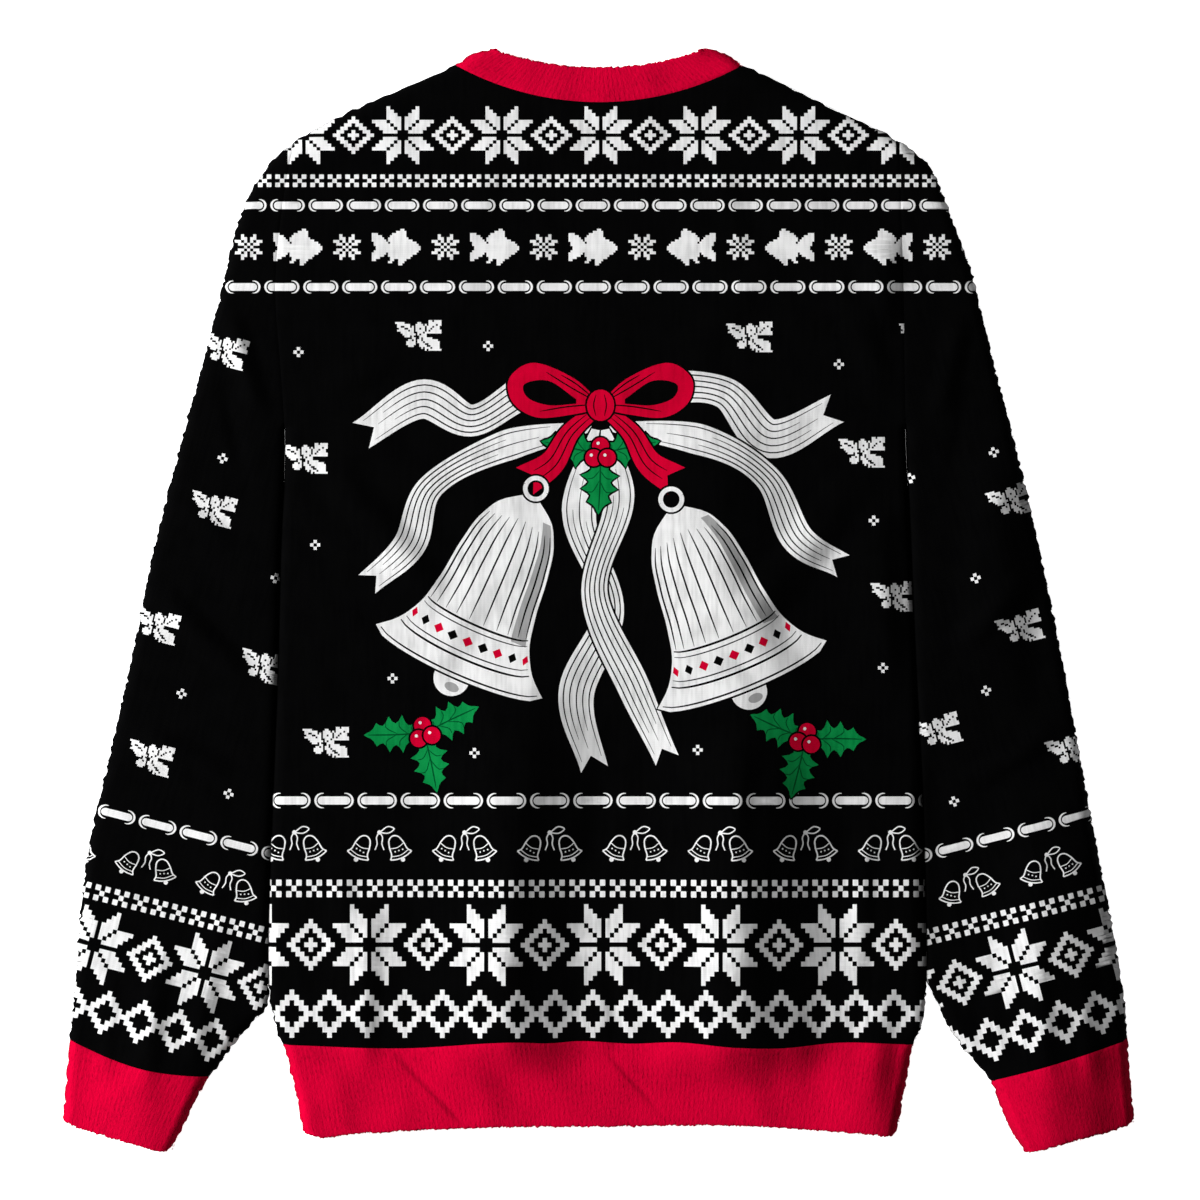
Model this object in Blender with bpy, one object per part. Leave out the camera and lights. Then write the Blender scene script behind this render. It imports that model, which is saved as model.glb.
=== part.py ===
"""A knitted Christmas sweatshirt laid flat on its front, back side up.

Every piece of cloth is a wall with an outer and an inner face, 0.3 mm clear of its neighbours.
The frame is +X to the viewer's right, +Y to the neck, +Z up from the surface it lies on.
Sizes in the tables are millimetres: "down" is measured from the top of the neckband, and
"left" and "right" are distances from the centre line.
"""
import bmesh
import bpy
import math

import numpy as np

MM = 0.001

# driving sizes, in millimetres
LENGTH = 728.0            # top of the neckband to the lowest point of a cuff
THICKNESS = 8.0           # the garment's height where both layers lie flat
CLOTH = 2.2               # wall of the knitted panels and sleeves
RIB = 2.6                 # wall of the doubled rib
SEAM_GAP = 0.3            # between two pieces that are sewn together
NECK_GAP = 0.45           # the same along the neckband's fold, which crosses its seam aslant
EDGE_ROUND = 7.0          # how far in from a folded edge the cloth still curves
RIB_PITCH = 3.1           # from one rib to the next
RIB_RISE = 0.5            # how far a rib stands out of its wall
NECK_HALF = 94.7          # half the neck's width at the shoulder points
NECK_POINT_DOWN = 11.9    # where the shoulder seams meet the neckband
BACK_NECK_DROP = 24.4     # neck point to the lowest point of the back neck seam
FRONT_NECK_DROP = 100.0   # neck point to the lowest point of the front neck seam
BAND_HEIGHT = 23.1        # the neckband's height at the centre
BAND_TOP_HALF = 75.4      # half the distance between the neckband's two top corners
CUFF_BOW = 6.6            # how far the cuff seam bows down between its ends
CORNER_PULL = 2.2         # how far the cuff's corners are rounded off
CORNER_SHARE = 10         # power of the place across the cuff at which that rounding grows
BOW_FADE = 3              # power at which armhole and cuff bow fade along a sleeve
SHOULDER_DOWN = 62.0      # the shoulder point, where the armhole starts
ARMPIT_DOWN = 252.0       # where the armhole ends
CUFF_SEAM_OUTER, CUFF_SEAM_INNER = 654.0, 678.5   # ends of the cuff's seam
CUFF_END_OUTER, CUFF_END_INNER = 709.5, 730.0     # ends of the cuff's lower edge

# the shoulder line, from the neck point to the shoulder point
SHOULDER_COLUMNS = ("down", "left", "right")
SHOULDER = (
    (11.9, 94.7, 94.7),
    (25.1, 124.1, 123.9),
    (35.6, 149.3, 144.2),
    (46.2, 172.4, 166.6),
    (56.8, 192.3, 188.8),
    (62.0, 201.0, 198.0),
)
# the body: armhole, side seam and the edge of the hem band
SIDE_COLUMNS = ("down", "left", "right")
SIDE = (
    (62.0, 201.0, 198.0),
    (100.3, 208.0, 198.8),
    (159.7, 213.2, 200.6),
    (212.5, 209.9, 201.3),
    (252.0, 207.2, 202.0),
    (331.3, 209.9, 205.3),
    (410.5, 211.9, 208.6),
    (496.3, 215.2, 213.2),
    (562.3, 217.4, 215.2),
    (618.0, 217.6, 215.4),
    (640.0, 217.0, 215.3),
    (650.0, 213.6, 212.4),
    (657.4, 208.2, 207.4),
    (678.0, 202.6, 203.3),
    (694.5, 198.7, 200.0),
    (711.0, 195.8, 197.3),
    (718.0, 193.6, 195.6),
)
# the outer edge of sleeve and cuff, below the shoulder point
OUTER_COLUMNS = ("down", "left", "right")
OUTER = (
    (62.0, 201.0, 198.0),
    (72.6, 213.6, 212.6),
    (83.2, 222.0, 220.8),
    (99.0, 231.2, 227.6),
    (116.8, 238.4, 234.0),
    (149.8, 246.4, 246.0),
    (182.8, 254.6, 254.1),
    (232.3, 267.8, 266.6),
    (281.8, 281.2, 279.4),
    (331.3, 293.6, 290.6),
    (397.3, 307.0, 304.3),
    (463.3, 321.8, 316.4),
    (529.3, 336.8, 328.7),
    (565.0, 341.4, 335.8),
    (600.0, 344.0, 342.0),
    (628.3, 346.6, 346.4),
    (654.0, 349.1, 348.4),
    (677.8, 351.1, 350.2),
    (709.5, 353.4, 353.0),
)
# the inner edge of sleeve and cuff, where it has left the body
INNER_COLUMNS = ("down", "left", "right")
INNER = (
    (602.0, 218.4, 216.2),
    (622.0, 219.6, 218.8),
    (634.0, 223.4, 224.4),
    (645.0, 229.7, 229.7),
    (661.5, 242.7, 241.6),
    (678.5, 256.9, 256.3),
    (694.5, 265.8, 263.5),
    (711.0, 273.7, 270.0),
    (730.0, 282.6, 279.4),
)
# the seam between the body and the hem band, from left to right
HEM_SEAM_COLUMNS = ("x", "down")
HEM_SEAM = (
    (-208.2, 657.4), (-129.4, 659.7), (-53.5, 655.6), (-31.7, 656.2), (-15.8, 655.0),
    (23.1, 656.6), (50.2, 655.5), (92.4, 659.0), (117.5, 659.5), (159.7, 655.9), (207.4, 657.4),
)
# the lower edge of the hem band
HEM_END_COLUMNS = ("x", "down")
HEM_END = (
    (-193.6, 714.8), (-189.0, 717.2), (-151.0, 714.3), (-59.0, 710.6), (0.0, 711.4),
    (92.0, 710.9), (126.0, 712.6), (179.0, 716.6), (191.0, 717.4), (195.6, 714.8),
)
# soft folds of the upper layer: from one end to the other, half width and height
FOLD_COLUMNS = ("x1", "down1", "x2", "down2", "width", "height")
FOLDS = (
    (-36.0, 700.0, -24.0, 508.0, 15.0, 2.8),
    (118.0, 704.0, 132.0, 470.0, 17.0, 3.2),
    (62.0, 690.0, 76.0, 560.0, 12.0, 1.6),
    (-118.0, 690.0, -128.0, 560.0, 14.0, 1.8),
    (-188.0, 268.0, -96.0, 372.0, 17.0, 2.6),
    (184.0, 266.0, 88.0, 392.0, 18.0, 3.0),
    (-196.0, 236.0, -120.0, 196.0, 15.0, 2.0),
    (192.0, 236.0, 150.0, 130.0, 15.0, 2.6),
    (-60.0, 44.0, -92.0, 150.0, 13.0, 1.4),
    (64.0, 46.0, 104.0, 158.0, 13.0, 1.5),
    (-222.0, 250.0, -246.0, 168.0, 12.0, 2.4),
    (222.0, 252.0, 240.0, 170.0, 12.0, 2.2),
    (-228.0, 420.0, -296.0, 356.0, 14.0, 2.6),
    (226.0, 404.0, 290.0, 344.0, 14.0, 2.4),
    (-236.0, 480.0, -312.0, 452.0, 13.0, 2.2),
    (232.0, 492.0, 308.0, 446.0, 13.0, 2.4),
    (-272.0, 690.0, -246.0, 560.0, 9.0, 2.6),
    (-300.0, 692.0, -288.0, 582.0, 9.0, 2.4),
    (-328.0, 690.0, -320.0, 600.0, 8.0, 2.0),
    (268.0, 690.0, 246.0, 566.0, 9.0, 2.6),
    (296.0, 692.0, 284.0, 574.0, 9.0, 2.2),
    (326.0, 690.0, 316.0, 604.0, 8.0, 2.0),
)
FOLD_SPREAD = 0.6         # how wide a fold's round top is, as a share of its half width
FOLD_FADE = 0.34          # the share of a fold's length over which each end dies out
ARMHOLE_GAP = 0.6         # between sleeve and body side at the armpit
SLIT_GAP = 0.8            # between sleeve and body side further down
SLIT_OPENS = 40.0         # how far below the armpit the wider gap is reached
EDGE_STEP = 1.0           # length of the line pieces that stand for a folded edge
ON_EDGE = 0.02            # nearer than this, a point counts as lying on a folded edge
HEART_ROW = 5             # the middle of this row of a sleeve lies well inside it
NEAR_EDGE = 1.0           # as far as this outside a folded edge, it counts as lying on it

BLACK_KNIT = (0.004, 0.004, 0.0045, 1.0)
RED_RIB = (0.500, 0.003, 0.022, 1.0)
SHARP_ANGLE = 50.0        # degrees between two faces that are shaded with an edge

# how finely the walls are divided
SLEEVE_ROWS, SLEEVE_UPPER, SLEEVE_LOWER = 21, 8, 4
ROWS_CLOSER = 1.2         # power that sets a sleeve's rows closer at the armhole
BACK_ROWS, BACK_NECK_STEPS, BACK_SHOULDER_STEPS = 15, 14, 6
FRONT_ROWS, FRONT_NECK_STEPS, FRONT_SHOULDER_STEPS = 5, 20, 3
BAND_ROWS = 1
HEM_LOWER = 12
EDGE_ANGLES = (0.0, 30.0, 60.0, 90.0)   # degrees round a fold at which the wall has points
# sizes that share out the points across a piece and the ribs along a band
SLEEVE_WIDTH, CUFF_WIDTH, HEM_WIDTH, BAND_LENGTH = 120.0, 87.0, 400.0, 176.0


def column(table, names, name):
    """One named column of a table."""
    return np.array([row[names.index(name)] for row in table])


def smooth(at, xs, ys):
    """A smooth curve through the rows of a table, read at one place or many."""
    at = np.asarray(at, dtype=float)
    slopes = np.gradient(ys, xs)
    i = np.clip(np.searchsorted(xs, at, side="right") - 1, 0, len(xs) - 2)
    step = xs[i + 1] - xs[i]
    t = np.clip((at - xs[i]) / step, 0.0, 1.0)
    rise_a = (1 + 2 * t) * (1 - t) ** 2 * ys[i] + t * (1 - t) ** 2 * step * slopes[i]
    rise_b = t * t * (3 - 2 * t) * ys[i + 1] + t * t * (t - 1) * step * slopes[i + 1]
    return rise_a + rise_b


def read(table, names, of, name, at):
    """A table's column `name`, smoothly, where its column `of` has the value `at`."""
    return smooth(at, column(table, names, of), column(table, names, name))


def sign(side):
    """-1 for the viewer's left, 1 for the right."""
    return -1.0 if side == "left" else 1.0


def plan(x, down):
    """Points in plan, in millimetres, with the origin in the middle of the garment."""
    x, down = np.broadcast_arrays(np.asarray(x, float), np.asarray(down, float))
    return np.stack([x, LENGTH / 2 - down], axis=-1)


def shoulder_line(side, down):
    """The shoulder line at a height."""
    return plan(sign(side) * read(SHOULDER, SHOULDER_COLUMNS, "down", side, down), down)


def body_side(side, down):
    """The side of the body: armhole, side seam or the end of the hem band."""
    return plan(sign(side) * read(SIDE, SIDE_COLUMNS, "down", side, down), down)


def outer_edge(side, down):
    """The outer edge of sleeve and cuff."""
    return plan(sign(side) * read(OUTER, OUTER_COLUMNS, "down", side, down), down)


def inner_edge(side, down):
    """The sleeve's inner edge: close along the body, then its own line to the cuff."""
    down = np.asarray(down, float)
    opened = np.clip((down - ARMPIT_DOWN) / SLIT_OPENS, 0.0, 1.0)
    beside = read(SIDE, SIDE_COLUMNS, "down", side, down)
    beside = beside + ARMHOLE_GAP + (SLIT_GAP - ARMHOLE_GAP) * opened
    free = read(INNER, INNER_COLUMNS, "down", side, down)
    first = column(INNER, INNER_COLUMNS, "down")[0]
    return plan(sign(side) * np.where(down < first, beside, free), down)


def band_corner(side):
    """The neckband's top corner, where its back half folds over to the front half."""
    return plan(sign(side) * BAND_TOP_HALF, 0.0)


def neck_point(side):
    """Where the shoulder seam meets the neckband."""
    return plan(sign(side) * NECK_HALF, NECK_POINT_DOWN)


def arc(s, half, end_down, drop):
    """A shallow circular arc between x = -half and x = +half that sags by `drop`."""
    radius = (half * half + drop * drop) / (2 * drop)
    widest = math.asin(half / radius)
    angle = widest * (2 * np.asarray(s, float) - 1)
    return plan(radius * np.sin(angle), end_down + drop - radius * (1 - np.cos(angle)))


def bowl(s, half, end_down, drop):
    """A deep half ellipse, as the front neckline."""
    angle = math.pi * np.asarray(s, float)
    return plan(-half * np.cos(angle), end_down + drop * np.sin(angle))


# ---- the folded edges, and how high the cloth lies ----

def samples(first, last):
    """Heights from first to last, about one edge step apart."""
    return np.linspace(first, last, int(abs(last - first) / EDGE_STEP) + 2)


def chain(points):
    """Line pieces (start, end) through a row of points."""
    return np.stack([points[:-1], points[1:]], axis=1)


def folded_edges(piece):
    """Every edge at which the cloth of a body piece or of a sleeve turns over."""
    lines = []
    for side in ("left", "right"):
        lines.append(chain(np.stack([band_corner(side), neck_point(side)])))
        lines.append(chain(shoulder_line(side, samples(NECK_POINT_DOWN, SHOULDER_DOWN))))
        lines.append(chain(outer_edge(side, samples(SHOULDER_DOWN, CUFF_END_OUTER))))
        if piece == "body":
            last = column(SIDE, SIDE_COLUMNS, "down")[-1]
            lines.append(chain(body_side(side, samples(ARMPIT_DOWN, last))))
        else:
            lines.append(chain(inner_edge(side, samples(ARMPIT_DOWN, CUFF_END_INNER))))
    return np.concatenate(lines)


def to_edge(points, edges, heart):
    """Distance from each point to the nearest folded edge, and the way in from there.

    On the edge itself the way in is square to it, on the side of `heart`.
    """
    flat = points.reshape(-1, 1, 2)
    start = edges[None, :, 0]
    along = edges[None, :, 1] - start
    t = ((flat - start) * along).sum(-1) / (along * along).sum(-1)
    nearest = start + np.clip(t, 0.0, 1.0)[..., None] * along
    distance = np.linalg.norm(flat - nearest, axis=-1)
    best = distance.argmin(axis=1)
    pick = np.arange(len(flat))
    distance = distance[pick, best]
    inward = (flat[:, 0] - nearest[pick, best]) / np.maximum(distance, ON_EDGE)[:, None]
    square = along[0, best][:, ::-1] * (1.0, -1.0)
    square = square / np.linalg.norm(square, axis=-1, keepdims=True)
    to_heart = np.broadcast_to(heart, points.shape).reshape(-1, 2) - flat[:, 0]
    square = square * np.sign((square * to_heart).sum(-1, keepdims=True))
    outside = (distance < NEAR_EDGE) & ((square * inward).sum(-1) < 0)
    on_edge = outside | (distance < ON_EDGE)
    distance = np.where(on_edge, 0.0, distance)
    inward = np.where(on_edge[:, None], square, inward)
    return distance.reshape(points.shape[:-1]), inward.reshape(points.shape)


def fold_height(points):
    """Height that the soft folds add to the upper layer."""
    total = np.zeros(points.shape[:-1])
    for row in FOLDS:
        fold = dict(zip(FOLD_COLUMNS, row))
        start, end = plan(fold["x1"], fold["down1"]), plan(fold["x2"], fold["down2"])
        along = end - start
        t = ((points - start) @ along) / (along @ along)
        away = points - start - np.clip(t, 0.0, 1.0)[..., None] * along
        across = np.linalg.norm(away, axis=-1)
        fade = np.clip(np.minimum(t, 1 - t) / FOLD_FADE, 0.0, 1.0)
        fade = fade * fade * (3 - 2 * fade)
        total += fold["height"] * fade / np.cosh(across / (FOLD_SPREAD * fold["width"])) ** 2
    return total


def layer(points, edges, heart, wall, way, rise=0.0, parted=0.0):
    """Outer and inner points of the upper (way = 1) or lower (way = -1) layer of cloth.

    `rise` lifts the outer points alone, as a rib does. `parted` holds the layer away from the
    middle height at a folded edge, where it is sewn to the other layer.
    """
    distance, inward = to_edge(points, edges, heart)
    turn = np.clip(1 - distance / EDGE_ROUND, 0.0, 1.0)
    level = np.sqrt(1 - turn * turn)
    middle = THICKNESS / 2
    lift = fold_height(points) * level ** 2 if way > 0 else 0.0
    parted = way * parted * turn
    outer_z = middle + way * (middle + rise) * level + parted + lift
    inner_z = middle + way * (middle - wall) * level + parted + lift
    inner_plan = points + inward * (wall * turn)[..., None]
    outer = np.concatenate([points, outer_z[..., None]], axis=-1)
    inner = np.concatenate([inner_plan, inner_z[..., None]], axis=-1)
    return outer, inner


# ---- solids ----

def material(name, colour, roughness):
    """A plain matt material."""
    made = bpy.data.materials.new(name)
    made.use_nodes = True
    shader = made.node_tree.nodes["Principled BSDF"]
    shader.inputs["Base Color"].default_value = colour
    shader.inputs["Roughness"].default_value = roughness
    shader.inputs["Metallic"].default_value = 0.0
    made.diffuse_color = colour
    return made


def wall_between(name, outer, inner, ring, finish, collection):
    """One closed wall between an outer and an inner grid of points; a ring closes its rows."""
    rows, columns = outer.shape[:2]
    mesh = bpy.data.meshes.new(name)
    form = bmesh.new()
    grids = [[[form.verts.new(p * MM) for p in row] for row in grid] for grid in (outer, inner)]
    across = columns if ring else columns - 1
    for grid in grids:
        for i in range(rows - 1):
            for j in range(across):
                k = (j + 1) % columns
                form.faces.new((grid[i][j], grid[i][k], grid[i + 1][k], grid[i + 1][j]))
    rim = [[(i, j) for j in range(columns)] for i in (0, rows - 1)]
    if ring:
        rim = [line + line[:1] for line in rim]
    else:
        rim += [[(i, j) for i in range(rows)] for j in (0, columns - 1)]
    skin, lining = grids
    for line in rim:
        for (i, j), (m, n) in zip(line[:-1], line[1:]):
            form.faces.new((skin[i][j], skin[m][n], lining[m][n], lining[i][j]))
    bmesh.ops.recalc_face_normals(form, faces=form.faces)
    if form.calc_volume(signed=True) < 0:
        bmesh.ops.reverse_faces(form, faces=form.faces)
    form.to_mesh(mesh)
    form.free()
    mesh.shade_smooth()
    mesh.set_sharp_from_angle(angle=math.radians(SHARP_ANGLE))
    mesh.materials.append(finish)
    piece = bpy.data.objects.new(name, mesh)
    collection.objects.link(piece)
    return piece


def edge_steps():
    """Distances from a folded edge at which the curved part of the wall has points."""
    return EDGE_ROUND * (1 - np.cos(np.radians(EDGE_ANGLES)))


def spread(width, count):
    """Places from 0 to 1 across a width: close at both folded edges, even between them."""
    near = edge_steps() / width
    middle = np.linspace(near[-1], 1 - near[-1], count + 1)[1:-1]
    return np.concatenate([near, middle, 1 - near[::-1]])


def neck_stations(count):
    """Places from 0 to 1 along the neckband: close at the folds, even between them."""
    near = edge_steps() / BAND_LENGTH
    even = np.linspace(0.0, 1.0, count + 1)
    return np.concatenate([near, even[(even > near[-1]) & (even < 1 - near[-1])], 1 - near[::-1]])


def body_columns(neck_places, shoulder_count):
    """Places from 0 to 1 across a panel that meet both neck points exactly."""
    left, right = body_side("left", SHOULDER_DOWN)[0], body_side("right", SHOULDER_DOWN)[0]
    width = right - left
    near = edge_steps() / width
    neck = (-NECK_HALF - left) / width, (NECK_HALF - left) / width
    return np.concatenate([
        near,
        np.linspace(near[-1], neck[0], shoulder_count + 1)[1:-1],
        neck[0] + (neck[1] - neck[0]) * neck_places,
        np.linspace(neck[1], 1 - near[-1], shoulder_count + 1)[1:-1],
        1 - near[::-1],
    ])


def panel_top(x, neckline):
    """How far down a panel's upper edge lies: the shoulder seams with the neck between."""
    down = np.empty_like(x)
    for side in ("left", "right"):
        part = sign(side) * x >= NECK_HALF
        down[part] = read(SHOULDER, SHOULDER_COLUMNS, side, "down", sign(side) * x[part])
    neck = np.abs(x) < NECK_HALF
    down[neck] = neckline(x[neck])
    return down


def back_neckline(x):
    """How far down the shallow back neck seam lies: a circular arc."""
    radius = (NECK_HALF ** 2 + BACK_NECK_DROP ** 2) / (2 * BACK_NECK_DROP)
    return NECK_POINT_DOWN + BACK_NECK_DROP - radius + np.sqrt(radius ** 2 - x * x)


def front_neckline(x):
    """How far down the deep front neck seam lies: half an ellipse."""
    return NECK_POINT_DOWN + FRONT_NECK_DROP * np.sqrt(1 - (x / NECK_HALF) ** 2)


def hem_seam(x, way):
    """How far down the hem seam lies: wavy in the upper layer, straight in the lower."""
    if way < 0:
        return np.full_like(x, HEM_SEAM[0][1])
    return read(HEM_SEAM, HEM_SEAM_COLUMNS, "x", "down", x)


def panel(name, way, neckline, across, rows, finish, collection):
    """The front or the back: a sheet from the shoulder seams and neck to the hem seam."""
    left, right = body_side("left", SHOULDER_DOWN)[0], body_side("right", SHOULDER_DOWN)[0]
    top_x = left + (right - left) * across
    top_down = panel_top(top_x, neckline)
    hem_left, hem_right = HEM_SEAM[0], HEM_SEAM[-1]
    hem_x = hem_left[0] + (hem_right[0] - hem_left[0]) * across
    hem_down = hem_seam(hem_x, way) - SEAM_GAP / 2
    # beside the armhole the rows meet the sleeve's own lines
    hole = spread(SLEEVE_WIDTH, SLEEVE_UPPER if way > 0 else SLEEVE_LOWER)
    hole = hole * (ARMPIT_DOWN - SHOULDER_DOWN) / (hem_left[1] - SHOULDER_DOWN)
    v = np.concatenate([hole, np.linspace(hole[-1], 1.0, rows + 1)[1:]])[:, None]
    side_down = SHOULDER_DOWN + (hem_left[1] - SHOULDER_DOWN) * v
    x_left, x_right = body_side("left", side_down)[..., 0], body_side("right", side_down)[..., 0]
    x = x_left + (x_right - x_left) * across
    down = top_down + (hem_down - top_down) * v
    points = plan(x, down)
    heart = plan(0.0, LENGTH / 2)
    outer, inner = layer(points, folded_edges("body"), heart, CLOTH, way, parted=SEAM_GAP / 2)
    return wall_between(name, outer, inner, False, finish, collection)


def sleeve_point(side, along, across):
    """A place on a sleeve: `along` from armhole to cuff seam, `across` from outer to inner."""
    outer = outer_edge(side, SHOULDER_DOWN + (CUFF_SEAM_OUTER - SHOULDER_DOWN) * along)
    inner = inner_edge(side, ARMPIT_DOWN + (CUFF_SEAM_INNER - ARMPIT_DOWN) * along)
    straight = outer + (inner - outer) * across[..., None]
    hole_down = SHOULDER_DOWN + (ARMPIT_DOWN - SHOULDER_DOWN) * across
    hole = body_side(side, hole_down)
    hole[..., 0] += sign(side) * ARMHOLE_GAP
    first = outer_edge(side, SHOULDER_DOWN)
    chord = first + (inner_edge(side, ARMPIT_DOWN) - first) * across[..., None]
    bow = (hole - chord) * ((1 - along) ** BOW_FADE)[..., None]
    bow[..., 1] -= CUFF_BOW * np.sin(math.pi * across) * along ** BOW_FADE
    return straight + bow


def cuff_point(side, along, across):
    """A place on a cuff: `along` from its seam to its end."""
    outer = outer_edge(side, CUFF_SEAM_OUTER + (CUFF_END_OUTER - CUFF_SEAM_OUTER) * along)
    inner = inner_edge(side, CUFF_SEAM_INNER + (CUFF_END_INNER - CUFF_SEAM_INNER) * along)
    straight = outer + (inner - outer) * across[..., None]
    straight[..., 1] -= CUFF_BOW * np.sin(math.pi * across) * (1 - along)
    straight[..., 1] += CORNER_PULL * np.abs(2 * across - 1) ** CORNER_SHARE * along ** BOW_FADE
    straight[..., 1] -= SEAM_GAP * (1 - along)
    return straight


def rings(upper, lower, edges, wall, rise=0.0):
    """Outer and inner rings of a flattened tube: the upper layer, and back along the lower."""
    rows = np.maximum(np.arange(len(upper)), min(HEART_ROW, len(upper) - 1))
    heart = upper.mean(axis=1, keepdims=True)[rows]
    top = layer(upper, edges, heart, wall, 1, rise)
    bottom = layer(lower, edges, heart, wall, -1)
    return [np.concatenate([t, b[:, -2:0:-1]], axis=1) for t, b in zip(top, bottom)]


def sleeve(side, finish, collection):
    """A sleeve: a flattened tube from the armhole to the cuff seam."""
    along = np.linspace(0.0, 1.0, SLEEVE_ROWS + 1)[:, None] ** ROWS_CLOSER
    upper_across = spread(SLEEVE_WIDTH, SLEEVE_UPPER)[None]
    lower_across = spread(SLEEVE_WIDTH, SLEEVE_LOWER)[None]
    upper = sleeve_point(side, *np.broadcast_arrays(along, upper_across))
    lower = sleeve_point(side, *np.broadcast_arrays(along, lower_across))
    outer, inner = rings(upper, lower, folded_edges("sleeve"), CLOTH)
    return wall_between("sleeve_" + side, outer, inner, True, finish, collection)


def rib_places(width):
    """Places across a ribbed band, one at each crest and one at each valley, and the rises."""
    count = 2 * round(width / RIB_PITCH)
    places = np.linspace(0.0, 1.0, count + 1)
    return places, np.where(np.arange(count + 1) % 2 == 1, RIB_RISE, 0.0)


def cuff(side, finish, collection):
    """A cuff: a flattened ribbed tube."""
    along = np.linspace(0.0, 1.0, BAND_ROWS + 1)[:, None]
    places, rise = rib_places(CUFF_WIDTH)
    upper = cuff_point(side, *np.broadcast_arrays(along, places[None]))
    lower = cuff_point(side, *np.broadcast_arrays(along, spread(CUFF_WIDTH, SLEEVE_LOWER)[None]))
    outer, inner = rings(upper, lower, folded_edges("sleeve"), RIB, rise[None])
    return wall_between("cuff_" + side, outer, inner, True, finish, collection)


def hem_point(along, across, way):
    """A place on the hem band: `along` from its seam to its lower edge."""
    seam_x = HEM_SEAM[0][0] + (HEM_SEAM[-1][0] - HEM_SEAM[0][0]) * across
    end_x = HEM_END[0][0] + (HEM_END[-1][0] - HEM_END[0][0]) * across
    seam_down = hem_seam(seam_x, way) + SEAM_GAP / 2
    end_down = read(HEM_END, HEM_END_COLUMNS, "x", "down", end_x)
    down = seam_down + (end_down - seam_down) * along
    edge_down = HEM_SEAM[0][1] + (HEM_END[0][1] - HEM_SEAM[0][1]) * along
    left, right = body_side("left", edge_down)[..., 0], body_side("right", edge_down)[..., 0]
    return plan(left + (right - left) * across, down)


def hem_band(finish, collection):
    """The hem band: a flattened ribbed tube as wide as the body."""
    along = np.linspace(0.0, 1.0, BAND_ROWS + 1)[:, None]
    places, rise = rib_places(HEM_WIDTH)
    upper = hem_point(*np.broadcast_arrays(along, places[None]), 1)
    lower = hem_point(*np.broadcast_arrays(along, spread(HEM_WIDTH, HEM_LOWER)[None]), -1)
    outer, inner = rings(upper, lower, folded_edges("body"), RIB, rise[None])
    return wall_between("hem_band", outer, inner, True, finish, collection)


def collar(finish, collection):
    """The neckband: its back half over its front half, folded over at the two top corners."""
    across = np.linspace(0.0, 1.0, BAND_ROWS + 1)[:, None]
    fold = math.hypot(NECK_HALF - BAND_TOP_HALF, NECK_POINT_DOWN)
    seam_half = NECK_HALF - NECK_GAP * (NECK_HALF - BAND_TOP_HALF) / fold
    seam_down = NECK_POINT_DOWN * (1 - NECK_GAP / fold)
    back_end = NECK_POINT_DOWN + BACK_NECK_DROP - SEAM_GAP
    front_end = NECK_POINT_DOWN + FRONT_NECK_DROP - SEAM_GAP
    places, rise = rib_places(BAND_LENGTH)
    below = neck_stations(FRONT_NECK_STEPS)

    def band(seam, edge):
        return seam[None] + (edge - seam)[None] * across[..., None]

    upper = band(arc(places, seam_half, seam_down, back_end - seam_down),
                 arc(places, BAND_TOP_HALF, 0.0, back_end - BAND_HEIGHT))
    lower = band(bowl(below, seam_half, seam_down, front_end - seam_down),
                 bowl(below, BAND_TOP_HALF, 0.0, front_end - BAND_HEIGHT))
    outer, inner = rings(upper, lower, folded_edges("body"), RIB, rise[None])
    return wall_between("collar", outer, inner, True, finish, collection)


def main():
    """Builds the whole garment in a collection of its own."""
    for old in list(bpy.data.objects):
        bpy.data.objects.remove(old)
    garment = bpy.data.collections.new("christmas_sweatshirt")
    bpy.context.scene.collection.children.link(garment)
    knit = material("black_knit", BLACK_KNIT, 0.95)
    rib = material("red_rib", RED_RIB, 0.9)

    even = neck_stations(BACK_NECK_STEPS)
    bowed = (1 - np.cos(math.pi * neck_stations(FRONT_NECK_STEPS))) / 2
    panel("back", 1, back_neckline, body_columns(even, BACK_SHOULDER_STEPS), BACK_ROWS,
          knit, garment)
    panel("front", -1, front_neckline, body_columns(bowed, FRONT_SHOULDER_STEPS), FRONT_ROWS,
          knit, garment)
    for side in ("left", "right"):
        sleeve(side, knit, garment)
        cuff(side, rib, garment)
    hem_band(rib, garment)
    collar(rib, garment)


main()
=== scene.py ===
"""Looks of a knitted Christmas sweatshirt that lies flat on its front, back side up.

Each piece of cloth is a thin closed wall on the form of its solid. The knitted pattern is cut
into the same surface: flat shapes are painted one over another on a sheet of cloth, the sheet
is triangulated along their edges, and each colour becomes a pile of yarn on its own faces.
Lengths are millimetres in the garment's plan, with +X to the right and +Y to the neck. "down"
is measured from the top of the neckband. Only the finished meshes are in metres.
"""
import math
from functools import partial

import bmesh
import bpy
import numpy as np
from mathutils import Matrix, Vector, kdtree
from mathutils.geometry import delaunay_2d_cdt


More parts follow.
